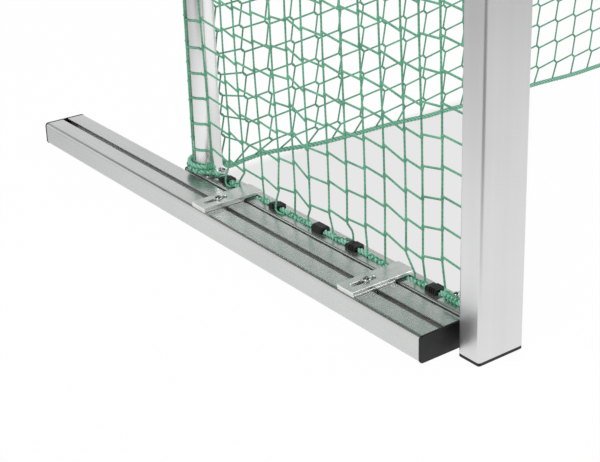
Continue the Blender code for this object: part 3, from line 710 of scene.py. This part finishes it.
TUBE = brushed_look(
    "drawn aluminium tube", "tube_aluminium", TUBE_COLOUR, (1, 1, 60), 0.18, 24.0, relief=0.04
)
bend_end = BEND_START + HOOP_BEND * math.pi / 2
hoop_end = bend_end + BEND_BACK - (POST_DEPTH + SMALL_GAP)
straight = np.linspace(hoop_foot_top, BEND_START, 6)
bend = np.linspace(BEND_START, bend_end, 25)[1:]
hoop_lengths = np.concatenate([straight, bend, np.linspace(bend[-1], hoop_end, 6)[1:]])
plate_top = hoop_foot_top - SMALL_GAP
circle = circle_angles(56)
bead_turn = np.linspace(0, 2 * math.pi, 12, endpoint=False)[:, None]
ripple = BEAD * (1 + 0.16 * np.sin(28 * circle))
bead_out = TUBE_RADIUS - 0.0006 + ripple * np.cos(bead_turn)
bead_back = POST_DEPTH + 0.0012 + ripple * np.sin(bead_turn)

for label, side in SIDES.items():
    hoop, foot = "net_hoop_" + label, "hoop_foot_" + label
    low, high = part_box(foot)
    foot_section = rectangle(high.x - low.x, high.y - low.y, 0.003)
    path = spot(side, HOOP_ACROSS, *hoop_line(hoop_lengths))

    def on_plate(x, y, up, side=side):
        return spot(side, HOOP_ACROSS + x, HOOP_BACK + y, up)

    screws = [
        button_screw(
            lambda x, y, z: spot(side, across + x, back + y, plate_top + 0.0002 + z),
            **{**SCREW, "length": plate_top - low.z},
        )
        for across, back in FOOT_SCREWS
    ]
    bead = spot(
        side, HOOP_ACROSS + bead_out * np.cos(circle), bead_back, HOOP_TOP + bead_out * np.sin(circle)
    )
    stand_in(hoop, "drawn", [rings_round(path, TUBE_RADIUS, (1, 0, 0), 56)], TUBE)
    stand_in(foot, "cut", [bar(foot_section, low.z, plate_top, on_plate, 0.0006)], PLATE)
    add_piece("hoop_foot_screws_" + label, screws, STEEL)
    add_piece("hoop_weld_" + label, [bead], TUBE, closed=True)


# Ballast boxes: an 80 x 40 mm extrusion with rounded edges and a bolt slot along the middle of its top. It
# lies outside the ground rail, a steel bar inside gives it its weight, and black plastic caps close both
# ends.

BALLAST_ACROSS = -0.0138
BALLAST_CORNER = 0.0060
SLOT = {"mouth": 0.010, "width": 0.020, "depth": 0.009, "lip": 0.003}
WEIGHT_COLOUR = ((0.030, 0.030, 0.034), (0.085, 0.080, 0.078))


def scaled_steel():
    """Hot-rolled steel under its blue-black mill scale."""
    finish, tree, shader, place, _ = new_finish("mill scale steel", 0.6, 0.7)
    set_colour(tree, shader, noise(tree, place, 90.0, 6.0), *WEIGHT_COLOUR)
    return finish


def paint_node(name, finish):
    """Puts a finish on a CAD node that is shown as it is."""
    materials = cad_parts[name].data.materials
    materials.clear()
    materials.append(finish)


SCALED = scaled_steel()

for label, side in SIDES.items():
    box, body = "ballast_box_" + label, "ballast_" + label
    low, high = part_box(box)
    box_section = slotted_section(high.x - low.x, high.z - low.z, BALLAST_CORNER, SLOT)

    def in_ballast(x, y, back, side=side):
        return spot(side, BALLAST_ACROSS + x, back, RAIL_MIDDLE + y)

    stand_in(box, "extruded", [bar(box_section, low.y - FRONT, high.y - FRONT, in_ballast)], BACKWARDS, body)
    for end in ("front", "rear"):
        cap = f"ballast_{end}_cap_{label}"
        stand_in(cap, "moulded", [end_cap(cap, BALLAST_CORNER, in_ballast)], PLASTIC, body)
    paint_node("ballast_weight_" + label, SCALED)


# Clamps: a sawn aluminium plate with a slotted hole over a shorter, thinner packing plate, drawn down on
# the box and the rail by a domed stainless socket bolt. Its nut runs in the box's slot.

CLAMP_BACKS = {"front": 0.2149, "rear": 0.5928}
PLATE_CORNER = 0.0015
PLATE_HOLE = {"length": 0.045, "width": 0.009, "inner_end": 0.003}
CLAMP_BOLT = {"head": 0.007, "height": 0.0044, "socket": 0.0029, "shank": 0.004, "length": 0.018}
SAWN_EDGE = 0.0005


def holed_plate(section, hole, bottom, top, place):
    """Rings of a plate with a hole: up its outer edge, across its face to the hole, and down inside it.
    The outline and the hole have the same count of points, and every edge is broken."""
    e = SAWN_EDGE
    edge, bore = inset(section, e), inset(hole, -e)
    outside = ((edge, bottom), (section, bottom + e), (section, top - e), (edge, top))
    inside = ((bore, top), (hole, top - e), (hole, bottom + e), (bore, bottom))
    return np.stack([place(loop[:, 0], loop[:, 1], up) for loop, up in outside + inside])


hole_width = PLATE_HOLE["width"]
for label, side in SIDES.items():
    for where, back in CLAMP_BACKS.items():
        for part, hole_length in (("plate", PLATE_HOLE["length"]), ("spacer", hole_width)):
            cad_plate = f"{where}_clamp_{part}_{label}"
            low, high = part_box(cad_plate)
            middle = HALF_WIDTH - side * (low.x + high.x) / 2
            hole_middle = PLATE_HOLE["inner_end"] - hole_length / 2 if part == "plate" else BALLAST_ACROSS
            hole_place = (hole_middle - middle, 0.0)
            hole = rectangle(hole_length, hole_width, hole_width / 2 - 0.00005, hole_place, 11)
            section = rectangle(high.x - low.x, high.y - low.y, PLATE_CORNER, steps=11)
            rings = holed_plate(
                section, hole, low.z, high.z, lambda x, y, up: spot(side, middle + x, back + y, up)
            )
            body = f"{where}_{'clamp' if part == 'spacer' else 'plate'}_{label}"
            stand_in(cad_plate, "sawn", [rings], PLATE, body, closed=True)
        bolt_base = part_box(f"{where}_clamp_plate_{label}")[1].z + SMALL_GAP
        bolt = button_screw(
            lambda x, y, z: spot(side, BALLAST_ACROSS + x, back + y, bolt_base + z), **CLAMP_BOLT
        )
        stand_in(f"{where}_clamp_bolt_{label}", "domed", [bolt], STEEL, f"{where}_bolt_{label}")
        paint_node(f"{where}_clamp_nut_{label}", STEEL[0])


# Net clips: moulded black plastic. A foot runs in the rail's groove and carries a low block that the rope
# runs through. The third is a plain block. The others have a raised flap with three ribs in front of a
# lower step.

CLIP_BACKS = (0.141, 0.321, 0.404, 0.518, 0.660)
PLAIN_CLIP = 3
CLIP_EDGE = 0.0008
CLIP_END_IN = 0.0012
CLIP_WIDTH = 0.0194
CLIP_TOPS = {"flap": 0.0088, "step": 0.0071, "plain": 0.0100}
CLIP_TUNNEL = 0.0093
ROPE_IN_CLIP = RAIL_TOP + 0.0012


def clip_rings(low, high, side, plain):
    """Rings of one clip: its outer section from the front end to the rear, and back through the tunnel.
    All have the same count of points. The ends are drawn in, and the flap's sides step in between its
    ribs."""
    neck, foot = GROOVE["mouth"] / 2 - 0.0004, GROOVE["width"] / 2 - 0.0005
    lip_under, sole, base = -GROOVE["lip"] - 0.0004, -0.0085, 0.0003

    def section(top, half):
        cut = 0.0036 if plain else 0.0018
        right = [
            (foot, sole, 0.001),
            (foot, lip_under, 0.0008),
            (neck, lip_under, 0.0001),
            (neck, base, 0.0001),
            (half, base, 0.0004),
            (half, top - cut, 0.0005),
            (half - cut, top, 0.0005),
        ]
        return outline([*right, *[(-x, y, r) for x, y, r in right[::-1]]], 3)

    tunnel_place = (0, ROPE_IN_CLIP - RAIL_TOP)
    tunnel = rectangle(CLIP_TUNNEL, CLIP_TUNNEL, CLIP_TUNNEL / 2 - 0.0001, tunnel_place, steps=18)
    start, end = low.y - FRONT + CLIP_END_IN, high.y - FRONT - CLIP_END_IN
    front = section(CLIP_TOPS["plain" if plain else "flap"], CLIP_WIDTH / 2)
    rear = front if plain else section(CLIP_TOPS["step"], CLIP_WIDTH / 2 - 0.0006)
    narrow = front if plain else section(CLIP_TOPS["flap"] - 0.0004, CLIP_WIDTH / 2 - 0.0014)
    step = start + 0.62 * (end - start)
    stations = [(inset(front, CLIP_EDGE), start), (front, start + CLIP_EDGE)]
    for at in np.linspace(start + 0.0026, step - 0.0038, 3):
        stations += [(front, at), (narrow, at + 0.0003), (narrow, at + 0.0017), (front, at + 0.0020)]
    stations += [(front, step), (rear, step + 0.0004), (rear, end - CLIP_EDGE), (inset(rear, CLIP_EDGE), end)]
    stations += [(inset(tunnel, -0.0003), end), (tunnel, end - 0.0008), (tunnel, start + 0.0008)]
    stations += [(inset(tunnel, -0.0003), start)]
    return np.stack(
        [spot(side, RAIL_ACROSS + loop[:, 0], back, RAIL_TOP + loop[:, 1]) for loop, back in stations]
    )


for label, side in SIDES.items():
    for number in range(1, len(CLIP_BACKS) + 1):
        clip = f"net_clip_{number}_{label}"
        rings = clip_rings(*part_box(clip), side, number == PLAIN_CLIP)
        stand_in(clip, "moulded", [rings], PLASTIC, clip, closed=True, crease=30)


# Side ropes: the same three-strand rope. Each lies on the bracket, runs through the clips, dips into the
# groove under the clamps and goes round the outside of the hoop's foot. A tail above it comes round from
# behind the hoop.

CLIP_TRAVEL = ((-0.005, 0.005), (-0.015, 0.015), (-0.015, 0.015), (-0.012, 0.012), (-0.010, 0.002))
CLIP_LENGTH = 0.026
ROPE_UNDER_CLAMP = 0.0375
ROPE_BETWEEN = RAIL_TOP - 0.0015
CLAMP_REACH = 0.0295
ROPE_RAMP = 0.014
ON_BRACKET = RAIL_TOP + SMALL_GAP + BRACKET_THICKNESS + ROPE_RADIUS + SMALL_GAP
TURN_RADIUS = TUBE_RADIUS + ROPE_RADIUS + 0.0006
TURN_PITCH = 2 * ROPE_RADIUS + 0.0009
TAIL_RADIUS = 0.0039
TAIL_DROP = 0.0013
TAIL_START = 0.10
LOWER_SHORT = 1.0
HOOP_FOOT_GAP = 0.0006
HOOP_FOOT_THICKNESS = 0.0045
CLIP_END_GAP = 0.001
clip_lows, clip_highs = (
    np.add(CLIP_BACKS, travel) + way * CLIP_LENGTH / 2 + way * CLIP_END_GAP
    for way, travel in zip((-1, 1), np.transpose(CLIP_TRAVEL))
)


def ease(value):
    """0 to 1 with a gentle start and end, held outside that range."""
    value = np.clip(value, 0, 1)
    return value * value * (3 - 2 * value)


def rope_height(back):
    """The rope's height along the rail: highest wherever a clip can come, half sunk in the groove between
    them, and right down in it wherever a clamp can come."""
    back = np.atleast_1d(back)[:, None]
    outside = np.maximum(np.maximum(clip_lows - back, back - clip_highs), 0).min(axis=1)
    beside = np.maximum(np.abs(back - np.array(list(CLAMP_BACKS.values()))) - CLAMP_REACH, 0).min(axis=1)
    free = ROPE_UNDER_CLAMP + (ROPE_BETWEEN - ROPE_UNDER_CLAMP) * ease(beside / ROPE_RAMP)
    return free + (ROPE_IN_CLIP - free) * ease(1 - outside / ROPE_RAMP) * ease(beside / 0.010)


def rope_top(back):
    """The height at which a strand ends in the rope's upper side."""
    return float(rope_height(back)[0]) + ROPE_RADIUS * 0.7


def side_rope_routes():
    """Rows of (across, back, up): the rope over the bracket, along the rail and round the tube as a
    falling angle, and its tail one pitch higher, from in front of the tube round the outside to behind it."""
    over = [
        (0.036, POST_DEPTH + 0.0065, ON_BRACKET),
        (0.0365, 0.075, ON_BRACKET),
        (0.0380, 0.098, ON_BRACKET),
        (0.0415, 0.1085, ON_BRACKET),
        (0.0470, 0.1160, ON_BRACKET - 0.0015),
    ]
    back = np.linspace(clip_lows[0], clip_highs[-1], 63)
    along = np.stack([np.full(63, RAIL_ACROSS), back, rope_height(back)], axis=1)
    low = RAIL_TOP + HOOP_FOOT_GAP + HOOP_FOOT_THICKNESS + ROPE_RADIUS + SMALL_GAP
    x, y = RAIL_ACROSS - HOOP_ACROSS, clip_highs[-1] - HOOP_BACK
    first = math.atan2(y, x) - math.acos(TURN_RADIUS / math.hypot(x, y))
    last = math.pi / 2 - (4 if first < 0 else 2) * math.pi

    def turns(start, end, count):
        angle = np.linspace(start, end, count)
        up = low + TURN_PITCH * (first - angle) / (2 * math.pi)
        across, back = HOOP_ACROSS + TURN_RADIUS * np.cos(angle), HOOP_BACK + TURN_RADIUS * np.sin(angle)
        return np.stack([across, back, up], axis=1)

    lower = turns(first, last + 2 * math.pi - LOWER_SHORT, 23)
    tail = turns(last + math.pi - TAIL_START, last, 17) - (0, 0, TAIL_DROP)
    lead_in = along[-1] * 0.65 + lower[0] * 0.35
    lead_in[2] = low
    return np.vstack([over, along, lead_in, lower]), np.vstack([tail, tail[-1] + (2 * ROPE_RADIUS, 0, 0)])


side_route, tail_route = side_rope_routes()
for label, side in SIDES.items():
    ropes = [
        laid_rope(smooth_path(spot(side, *route.T), ROPE_STEP), radius)
        for route, radius in ((side_route, ROPE_RADIUS), (tail_route, TAIL_RADIUS))
    ]
    stand_in("side_rope_" + label, "laid", ropes, ROPE)


# Net: knotless green polypropylene netting with 45 mm meshes and 3 mm strands. Where two strands cross they
# run through each other for about 10 mm, so each joint is a thicker slanting piece. The back, the bend and
# the top hang over the hoops from side to side, and each side is laced to the hoop, to the post and to the
# rope on the rail.

STRAND = 0.00165
JOINT = 0.0023
ROW_JOINT = 0.0020
BORDER = 0.0021
TWINE = 0.0013
TWINE_OUT = 0.0007
NET_GAP = 0.0268
HOOP_X = HALF_WIDTH - HOOP_ACROSS
WRAP = NET_GAP * math.pi / 2
NET_COLOUR = ((0.065, 0.280, 0.165), (0.180, 0.570, 0.350))
BACK_MESH = (0.051, 0.0433)
BACK_FIRST = (-0.064, 0.046)
BACK_JOINT = 0.0034
CORNER_KNOT = 0.876
TO_CORNER_KNOT = 0.84
TOP_FRONT = 0.0445
BACK_SLACK = (0.004, 0.003)
SIDE_LIFT = 0.0127
ROPE_HALF = 0.92
ABOVE_ROPE = 0.034
SQUEEZED_BELOW = 0.262
back_bend_end = BEND_START + (HOOP_BEND + NET_GAP) * math.pi / 2
back_top_end = back_bend_end + BEND_BACK - TOP_FRONT


def net_look():
    """Green twine: lighter and darker along each strand, with the slant of its braid."""
    finish, tree, shader, place, uv = new_finish("green net twine", 0.5)
    along = stretched(tree, uv, (1.0, 260.0, 1.0))
    waves = {"Vector": along, "Scale": 0.35, "Distortion": 0.6, "Detail": 1.0}
    braid = node(tree, "ShaderNodeTexWave", waves, bands_direction="DIAGONAL").outputs["Fac"]
    patches = combined(tree, "SUBTRACT", noise(tree, place, 38.0, 3.0), 0.28)
    slants = combined(tree, "MULTIPLY", combined(tree, "SUBTRACT", braid, 0.5), 0.35)
    share = combined(tree, "ADD", combined(tree, "MULTIPLY", patches, 1.7), slants)
    set_colour(tree, shader, share, *NET_COLOUR)
    set_relief(tree, shader, braid, 0.5, 0.0004)
    shader["Sheen Weight"].default_value = 0.2
    return finish, "green_net"


def strand_rings(enter, leave, first, last, facing, joint=JOINT):
    """One strand: from its first points it comes to each joint at `enter`, runs through it to `leave`,
    thicker in between, and goes on to the next, to its last points."""
    through = np.stack([enter, 0.7 * enter + 0.3 * leave, 0.3 * enter + 0.7 * leave, leave], axis=1)
    between = (leave[:-1] + enter[1:]) / 2
    first, last = np.reshape(first, (-1, 3)), np.reshape(last, (-1, 3))
    path = [first, np.concatenate([through[:-1], between[:, None]], axis=1).reshape(-1, 3), through[-1], last]
    thick = [STRAND, joint, joint, STRAND]
    radius = [[STRAND] * len(first), [*thick, STRAND * 0.95] * len(between), thick, [STRAND] * len(last)]
    return rings_round(np.vstack(path), np.concatenate(radius), facing, turn=0.0 if joint == JOINT else 0.5)


def on_hoops(x, length):
    """Points of the net over the hoops, and the direction along it. Between the hoops it is flat from side
    to side, and past each it turns a quarter way round the tube."""
    over = np.clip(np.abs(x) - HOOP_X, 0, WRAP) / NET_GAP
    sideways = np.clip(x, -HOOP_X, HOOP_X) + np.sign(x) * NET_GAP * np.sin(over)
    length = np.clip(length, 0, back_top_end)
    back, up = hoop_line(length, NET_GAP)
    turn = bend_turn(length, NET_GAP)
    drop = NET_GAP * (1 - np.cos(over))
    return np.stack([sideways, FRONT + back - drop * np.cos(turn), up - drop * np.sin(turn)], axis=-1)


def slack(x, y, size):
    """A small smooth shift that makes hand-hung netting uneven: two crossing waves."""
    return size * (np.sin(11 * x + 7 * y) + np.sin(17 * y - 5 * x + 1.3)) / 2


def rope_under(x):
    """The back rope's point below each sideways place."""
    order = np.argsort(back_path[:, 0])
    return np.stack([x, *(np.interp(x, back_path[order, 0], back_path[order, k]) for k in (1, 2))], axis=-1)


def twine_round(path, first, last, pitch):
    """Twine wound round a rope between two distances along it: a coil that touches the rope all the way."""
    at = np.linspace(first, last, round(12 * ((last - first) / pitch)) + 1)
    middle = points_at(path, at)
    ahead = unit(np.gradient(middle, axis=0))
    beside = unit(np.cross(ahead, (0, 0, 1)))
    angle = 2 * math.pi * (at - first)[:, None] / pitch
    outwards = np.cos(angle) * beside + np.sin(angle) * np.cross(beside, ahead)
    coil = middle + (ROPE_RADIUS + TWINE_OUT) * outwards
    return rings_round(coil, TWINE, unit(coil - middle + 0.2 * ahead))


NET = net_look()
columns = BACK_FIRST[0] + BACK_MESH[0] * np.arange(-18, 21)
columns = columns[np.abs(columns) < HOOP_X + WRAP - 0.012]
columns = np.concatenate([[-HOOP_X - WRAP], columns, [HOOP_X + WRAP]])
rows = BACK_FIRST[1] + BACK_MESH[1] * np.arange(0, 43)
rows = rows[rows < back_top_end - 0.015]
grid_x, grid_length = np.meshgrid(columns, rows)
inside = np.clip((HOOP_X - np.abs(grid_x)) / 0.05, 0, 1)
at_sides, low_down = ease((np.abs(grid_x) - 0.66) / 0.26), 1 - ease((grid_length - 0.2) / 0.9)
grid_length = grid_length + SIDE_LIFT * at_sides * low_down
lowest = np.maximum(rows[0], rope_under(np.clip(columns, -ROPE_HALF, ROPE_HALF))[:, 2] + ABOVE_ROPE)
squeeze = np.clip((SQUEEZED_BELOW - grid_length) / (SQUEEZED_BELOW - rows[0]), 0, None)
grid_length = grid_length + (lowest - rows[0]) * squeeze
node_x = grid_x + inside * slack(grid_x, grid_length, BACK_SLACK[0])
node_length = grid_length + inside * slack(grid_length, grid_x, BACK_SLACK[1])
slant = np.where(np.abs(grid_x) > HOOP_X + WRAP - 0.001, 0.0, BACK_JOINT)
enter, leave = (on_hoops(node_x + way * slant, node_length - way * BACK_JOINT) for way in (-1, 1))
row_enter, row_leave = (on_hoops(node_x + way * BACK_JOINT, node_length - way * slant) for way in (-1, 1))

panels = {
    "back_net": (0.0, BEND_START),
    "bend_net": (BEND_START, back_bend_end),
    "top_net": (back_bend_end, back_top_end),
}
for cad_net, (panel_low, panel_high) in panels.items():
    held = (rows >= panel_low) & (rows < panel_high)
    turn = bend_turn(rows[held], NET_GAP)
    shells = [
        strand_rings(comes, goes, [], [], (0, -math.sin(angle), math.cos(angle)), ROW_JOINT)
        for comes, goes, angle in zip(row_enter[held], row_leave[held], turn)
    ]
    for index, x in enumerate(columns):
        if cad_net == "back_net":
            foot_x = math.copysign(CORNER_KNOT, x) if abs(x) > TO_CORNER_KNOT else x
            end = rope_under(foot_x) + (0, 0, ROPE_RADIUS * 0.8)
        else:
            end = leave[held.argmax() - 1, index]
        top = on_hoops(x, back_top_end) if cad_net == "top_net" else []
        shells.append(strand_rings(enter[held][::-1, index], leave[held][::-1, index], top, end, (1, 0, 0)))
    if cad_net == "top_net":
        border = on_hoops(np.linspace(-HOOP_X - WRAP, HOOP_X + WRAP, 160), back_top_end)
        shells.append(rings_round(border, BORDER, (0, 0, 1)))
    stand_in(cad_net, "knotless", shells, NET)


# Side panels of the net: each hangs from the hoop and the post over the rope on the rail, and its rear edge
# is drawn round the outside of the hoop. Twine laces it to the rope, and binds the ropes behind the post
# and at the hoop.

SIDE_COLUMNS = np.array(
    (0.0740, 0.1245, 0.166, 0.2030, 0.2500, 0.2945, 0.337, 0.3803)
    + (0.4290, 0.468, 0.508, 0.5585, 0.611, 0.647, 0.701)
)
SIDE_FEET = (
    (0.074, 0.1205, 0.1545, 0.196, 0.249, 0.2905, 0.338, 0.3755)
    + (0.433, 0.470, 0.505, 0.553, 0.598, 0.6475, 0.699)
)
SIDE_UNEVEN = 0.001 * np.array((13, 12, -1, -1, 7, 6, 0, 0, -8, 4, -3, -2, -5, 0, 6))
SIDE_SAG = 0.007
NEAR_CLIPS = ((0.508, -0.004), (0.647, -0.004))
SIDE_ROWS = 25
SIDE_ROW = (0.0812, 0.0467)
SIDE_JOINT = 0.0050
SIDE_STEP = (0.0018, 0.0027)
SIDE_SLACK = 0.003
SIDE_DRAWN = 0.012
POST_EDGE = 0.0465
EDGE_FOOT = 0.066
POST_EDGE_TOP = 1.238
HOOP_EDGE_FRONT = 0.047
FOOT_AT_HOOP = 0.0640
NET_OUTSIDE = HOOP_ACROSS - NET_GAP
BESIDE_CLIP = 0.0125
PAST_CLIP = 0.0119
CLIP_CLEAR = 0.002
CLAMP_CLEAR = 0.0312
BRACKET_END = 0.12
HOOP_CLEAR = 0.004
BRACKET_BINDING = (0.079, 0.108, 0.0068)
TAIL_BINDING = (0.004, 0.016, 0.0034)
KNOT_BINDING = (0.052, 0.070, 0.0036)
HOOP_BINDING = {"after_last": 0.060, "before_end": 0.020, "pitch": 0.0120}
LACED = (
    ((0.1615, 0.182, 0.010), (0.248, 0.290, 0.011), (0.352, 0.373, 0.010))
    + ((0.435, 0.490, 0.011), (0.546, 0.560, 0.010))
)


def rear_edge(up):
    """Where the sheet of the side net lies across, the angle from the hoop's outermost line at which it
    comes to the hoop, and the distance along a row at which it ends on that line."""
    across = RAIL_ACROSS + (NET_OUTSIDE - RAIL_ACROSS) * ease((np.asarray(up) - 0.0585) / 0.71)
    touch = np.arccos(np.clip((HOOP_ACROSS - across) / NET_GAP, 0, 1))
    return across, touch, HOOP_BACK + NET_GAP * (touch - np.sin(touch))


def side_place(side, along, up):
    """A point of the side net from its distance along a row and its height. The net is a sheet over the
    rail's middle that leans outwards with height, and where it comes to the hoop it turns round the tube's
    outside. Low down it is pushed aside a little (a bell curve along the row) where a strand passes beside
    a clip."""
    across, touch, last = rear_edge(up)
    aside = sum(push * np.exp(-(((along - clip) / 0.016) ** 2)) for clip, push in NEAR_CLIPS)
    across = across + aside * (1 - ease((np.asarray(up) - 0.085) / 0.05))
    turn = np.clip((last - along) / NET_GAP, 0, touch)
    wrapped = along > last - NET_GAP * touch
    across = np.where(wrapped, HOOP_ACROSS - NET_GAP * np.cos(turn), across)
    return spot(side, across, np.where(wrapped, HOOP_BACK - NET_GAP * np.sin(turn), along), up)


def row_height(row, along):
    """A row's height: uneven from column to column, half as much higher up, and sagging a little in front
    of the hoop except in the lowest and the uppermost rows."""
    uneven = np.interp(along, SIDE_COLUMNS, SIDE_UNEVEN) * (1 - 0.5 * ease((row - 2) / 4))
    sag = SIDE_SAG * ease((along - 0.46) / 0.10) * ease((row - 1) / 3) * (1 - ease((row - 9) / 8))
    return SIDE_ROW[0] + SIDE_ROW[1] * row + uneven - sag


def hoop_height(back):
    return BEND_START + np.sqrt(np.clip(HOOP_BEND**2 - np.clip(back - BEND_BACK, 0, None) ** 2, 0, None))


def foot_of(side, back):
    """Where a hanging strand reaches the rope, from the rope upwards. It keeps clear of every place that a
    clip or a clamp can slide to: it stops just beyond it, or hangs outside the clip and comes to the rope
    past its end."""
    for low, high in zip(clip_lows, clip_highs):
        if low - CLIP_CLEAR < back < high + CLIP_CLEAR:
            free = low - CLIP_CLEAR if back - low < high - back else high + CLIP_CLEAR
            if abs(back - free) < BESIDE_CLIP:
                return spot(side, RAIL_ACROSS, free, np.array([rope_top(free), RAIL_TOP + 0.0135]))
            inwards = -1 if low < CLIP_BACKS[1] < high else 1
            outer = RAIL_ACROSS - inwards * PAST_CLIP
            along_rail = RAIL_TOP + STRAND + SMALL_GAP
            route = [
                (RAIL_ACROSS - 0.0045 * inwards, free, rope_top(free) - ROPE_RADIUS * 0.5),
                (outer + 0.0008 * inwards, free, along_rail),
                (outer, free * 0.3 + back * 0.7, along_rail),
                (outer, back, RAIL_TOP + 0.005),
                (outer + 0.0004 * inwards, back, RAIL_TOP + 0.013),
                (outer + 0.0020 * inwards, back, RAIL_TOP + 0.020),
            ]
            return spot(side, *np.transpose(route))
    for clamp in CLAMP_BACKS.values():
        if abs(back - clamp) < CLAMP_CLEAR:
            free = clamp + math.copysign(CLAMP_CLEAR, back - clamp)
            return spot(side, RAIL_ACROSS, free, np.array([rope_top(free), RAIL_TOP + 0.0118]))
    if back < BRACKET_END:
        across, up = (float(np.interp(back, side_route[:6, 1], side_route[:6, k])) for k in (0, 2))
        return spot(side, across, back, up + ROPE_RADIUS * 0.7)
    if back > clip_highs[-1]:
        return side_place(side, back, FOOT_AT_HOOP)
    return spot(side, RAIL_ACROSS, back, rope_top(back))


node_along = np.broadcast_to(SIDE_COLUMNS, (SIDE_ROWS, len(SIDE_COLUMNS)))
node_up = row_height(np.arange(SIDE_ROWS)[:, None], node_along)
inner = (node_along > 0.1) & (node_along < 0.69)
drawn_forward = SIDE_DRAWN * ease((node_up - 0.15) / 0.45)
node_along = node_along + inner * (slack(node_up * 1.3, node_along, SIDE_SLACK) - drawn_forward)
node_up = node_up + inner * slack(node_along, node_up, SIDE_SLACK)
under_hoop = node_up + SIDE_JOINT < hoop_height(node_along) - HOOP_CLEAR

for label, side in SIDES.items():
    low_end = side_place(side, node_along, node_up - SIDE_JOINT)
    high_end = side_place(side, node_along, node_up + SIDE_JOINT)
    row_enter = side_place(side, node_along + SIDE_STEP[0], node_up - SIDE_STEP[1])
    row_leave = side_place(side, node_along - SIDE_STEP[0], node_up + SIDE_STEP[1])
    shells = []
    for row, held in enumerate(under_hoop):
        height = float(node_up[row][held][-1])
        if height < BEND_START and held.all():
            rear = side_place(side, np.linspace(rear_edge(height)[2], SIDE_COLUMNS[-1] + 0.007, 7), height)
        else:
            over = min(max(height - BEND_START, 0.0), HOOP_BEND * 0.999)
            rear = spot(side, NET_OUTSIDE, BEND_BACK + math.sqrt(HOOP_BEND**2 - over**2), height)
        front = side_place(side, POST_EDGE, float(row_height(row, POST_EDGE)))
        comes, goes = row_enter[row][held][::-1], row_leave[row][held][::-1]
        shells.append(strand_rings(comes, goes, rear, front, (0, 0, 1), ROW_JOINT))
    for index, foot in enumerate(SIDE_FEET):
        held = under_hoop[:, index]
        last = node_along[held, index][-1]
        top = spot(side, NET_OUTSIDE, last, hoop_height(last))
        comes, goes = low_end[held, index], high_end[held, index]
        shells.append(strand_rings(comes, goes, foot_of(side, foot), top, (1, 0, 0)))
    edge_lengths = np.linspace(EDGE_FOOT, bend_end + BEND_BACK - HOOP_EDGE_FRONT, 90)
    hoop_edge = spot(side, NET_OUTSIDE - 0.0005, *hoop_line(edge_lengths))
    shells.append(rings_round(hoop_edge, STRAND, (1, 0, 0)))
    post_edge = side_place(side, POST_EDGE, np.linspace(EDGE_FOOT, POST_EDGE_TOP, 60))
    shells.append(rings_round(post_edge, BORDER, (0, 1, 0)))
    stand_in("side_net_" + label, "knotless", shells, NET)

    rope_path = smooth_path(spot(side, *side_route.T), ROPE_STEP)
    rope_length = distance_along(rope_path)
    on_rail = rope_path[:, 1] < clip_highs[-1] + FRONT
    shells = []
    for first, last, pitch in (BRACKET_BINDING, *LACED):
        ends = np.interp([first, last], rope_path[on_rail, 1] - FRONT, rope_length[on_rail])
        shells.append(twine_round(rope_path, *ends, pitch))
    hoop_ends = ends[1] + HOOP_BINDING["after_last"], rope_length[-1] - HOOP_BINDING["before_end"]
    shells.append(twine_round(rope_path, *hoop_ends, HOOP_BINDING["pitch"]))
    tail_path = smooth_path(spot(side, *tail_route.T), ROPE_STEP)
    shells.append(twine_round(tail_path, *TAIL_BINDING))
    knot_path = back_path if side < 0 else back_path[::-1]
    shells.append(twine_round(knot_path, *KNOT_BINDING))
    add_piece(f"net_lacing_{label}_twine", shells, NET)


# Net hooks: small black plastic hooks clipped to the backs of the posts and the crossbar, which hold the
# net's front edge. They are out of the photograph and are made as such goals have them.

HOOK_HEIGHTS = (0.16, 0.36, 0.56, 0.76, 0.96, 1.16)
HOOK_SPACING = 0.20
HOOK = {"wire": 0.0017, "reach": 0.0042}


def hook_rings(centre, outwards, across, post_back):
    """A hook round the net's edge cord: a straight shank from the frame, then three quarters of a circle."""
    turn = np.linspace(-math.pi / 2, math.pi, 12)[:, None]
    arc = centre + HOOK["reach"] * (np.cos(turn) * outwards + np.sin(turn) * across)
    shank = arc[0] - np.array([[post_back], [post_back / 2]]) * outwards
    return rings_round(np.vstack([shank, arc]), HOOK["wire"], np.cross(outwards, across), 10)


backwards, sideways, upwards = np.eye(3)[[1, 0, 2]]
for label, side in SIDES.items():
    cord_places = side_place(side, POST_EDGE, np.array(HOOK_HEIGHTS))
    hooks = [hook_rings(place, backwards, sideways * side, POST_EDGE - POST_DEPTH) for place in cord_places]
    add_piece(f"net_hooks_{label}_moulded", hooks, PLASTIC)
cord_places = on_hoops(np.arange(-4, 5) * HOOK_SPACING, back_top_end)
hooks = [hook_rings(place, backwards, -upwards, TOP_FRONT - POST_DEPTH) for place in cord_places]
add_piece("net_hooks_top_moulded", hooks, PLASTIC)
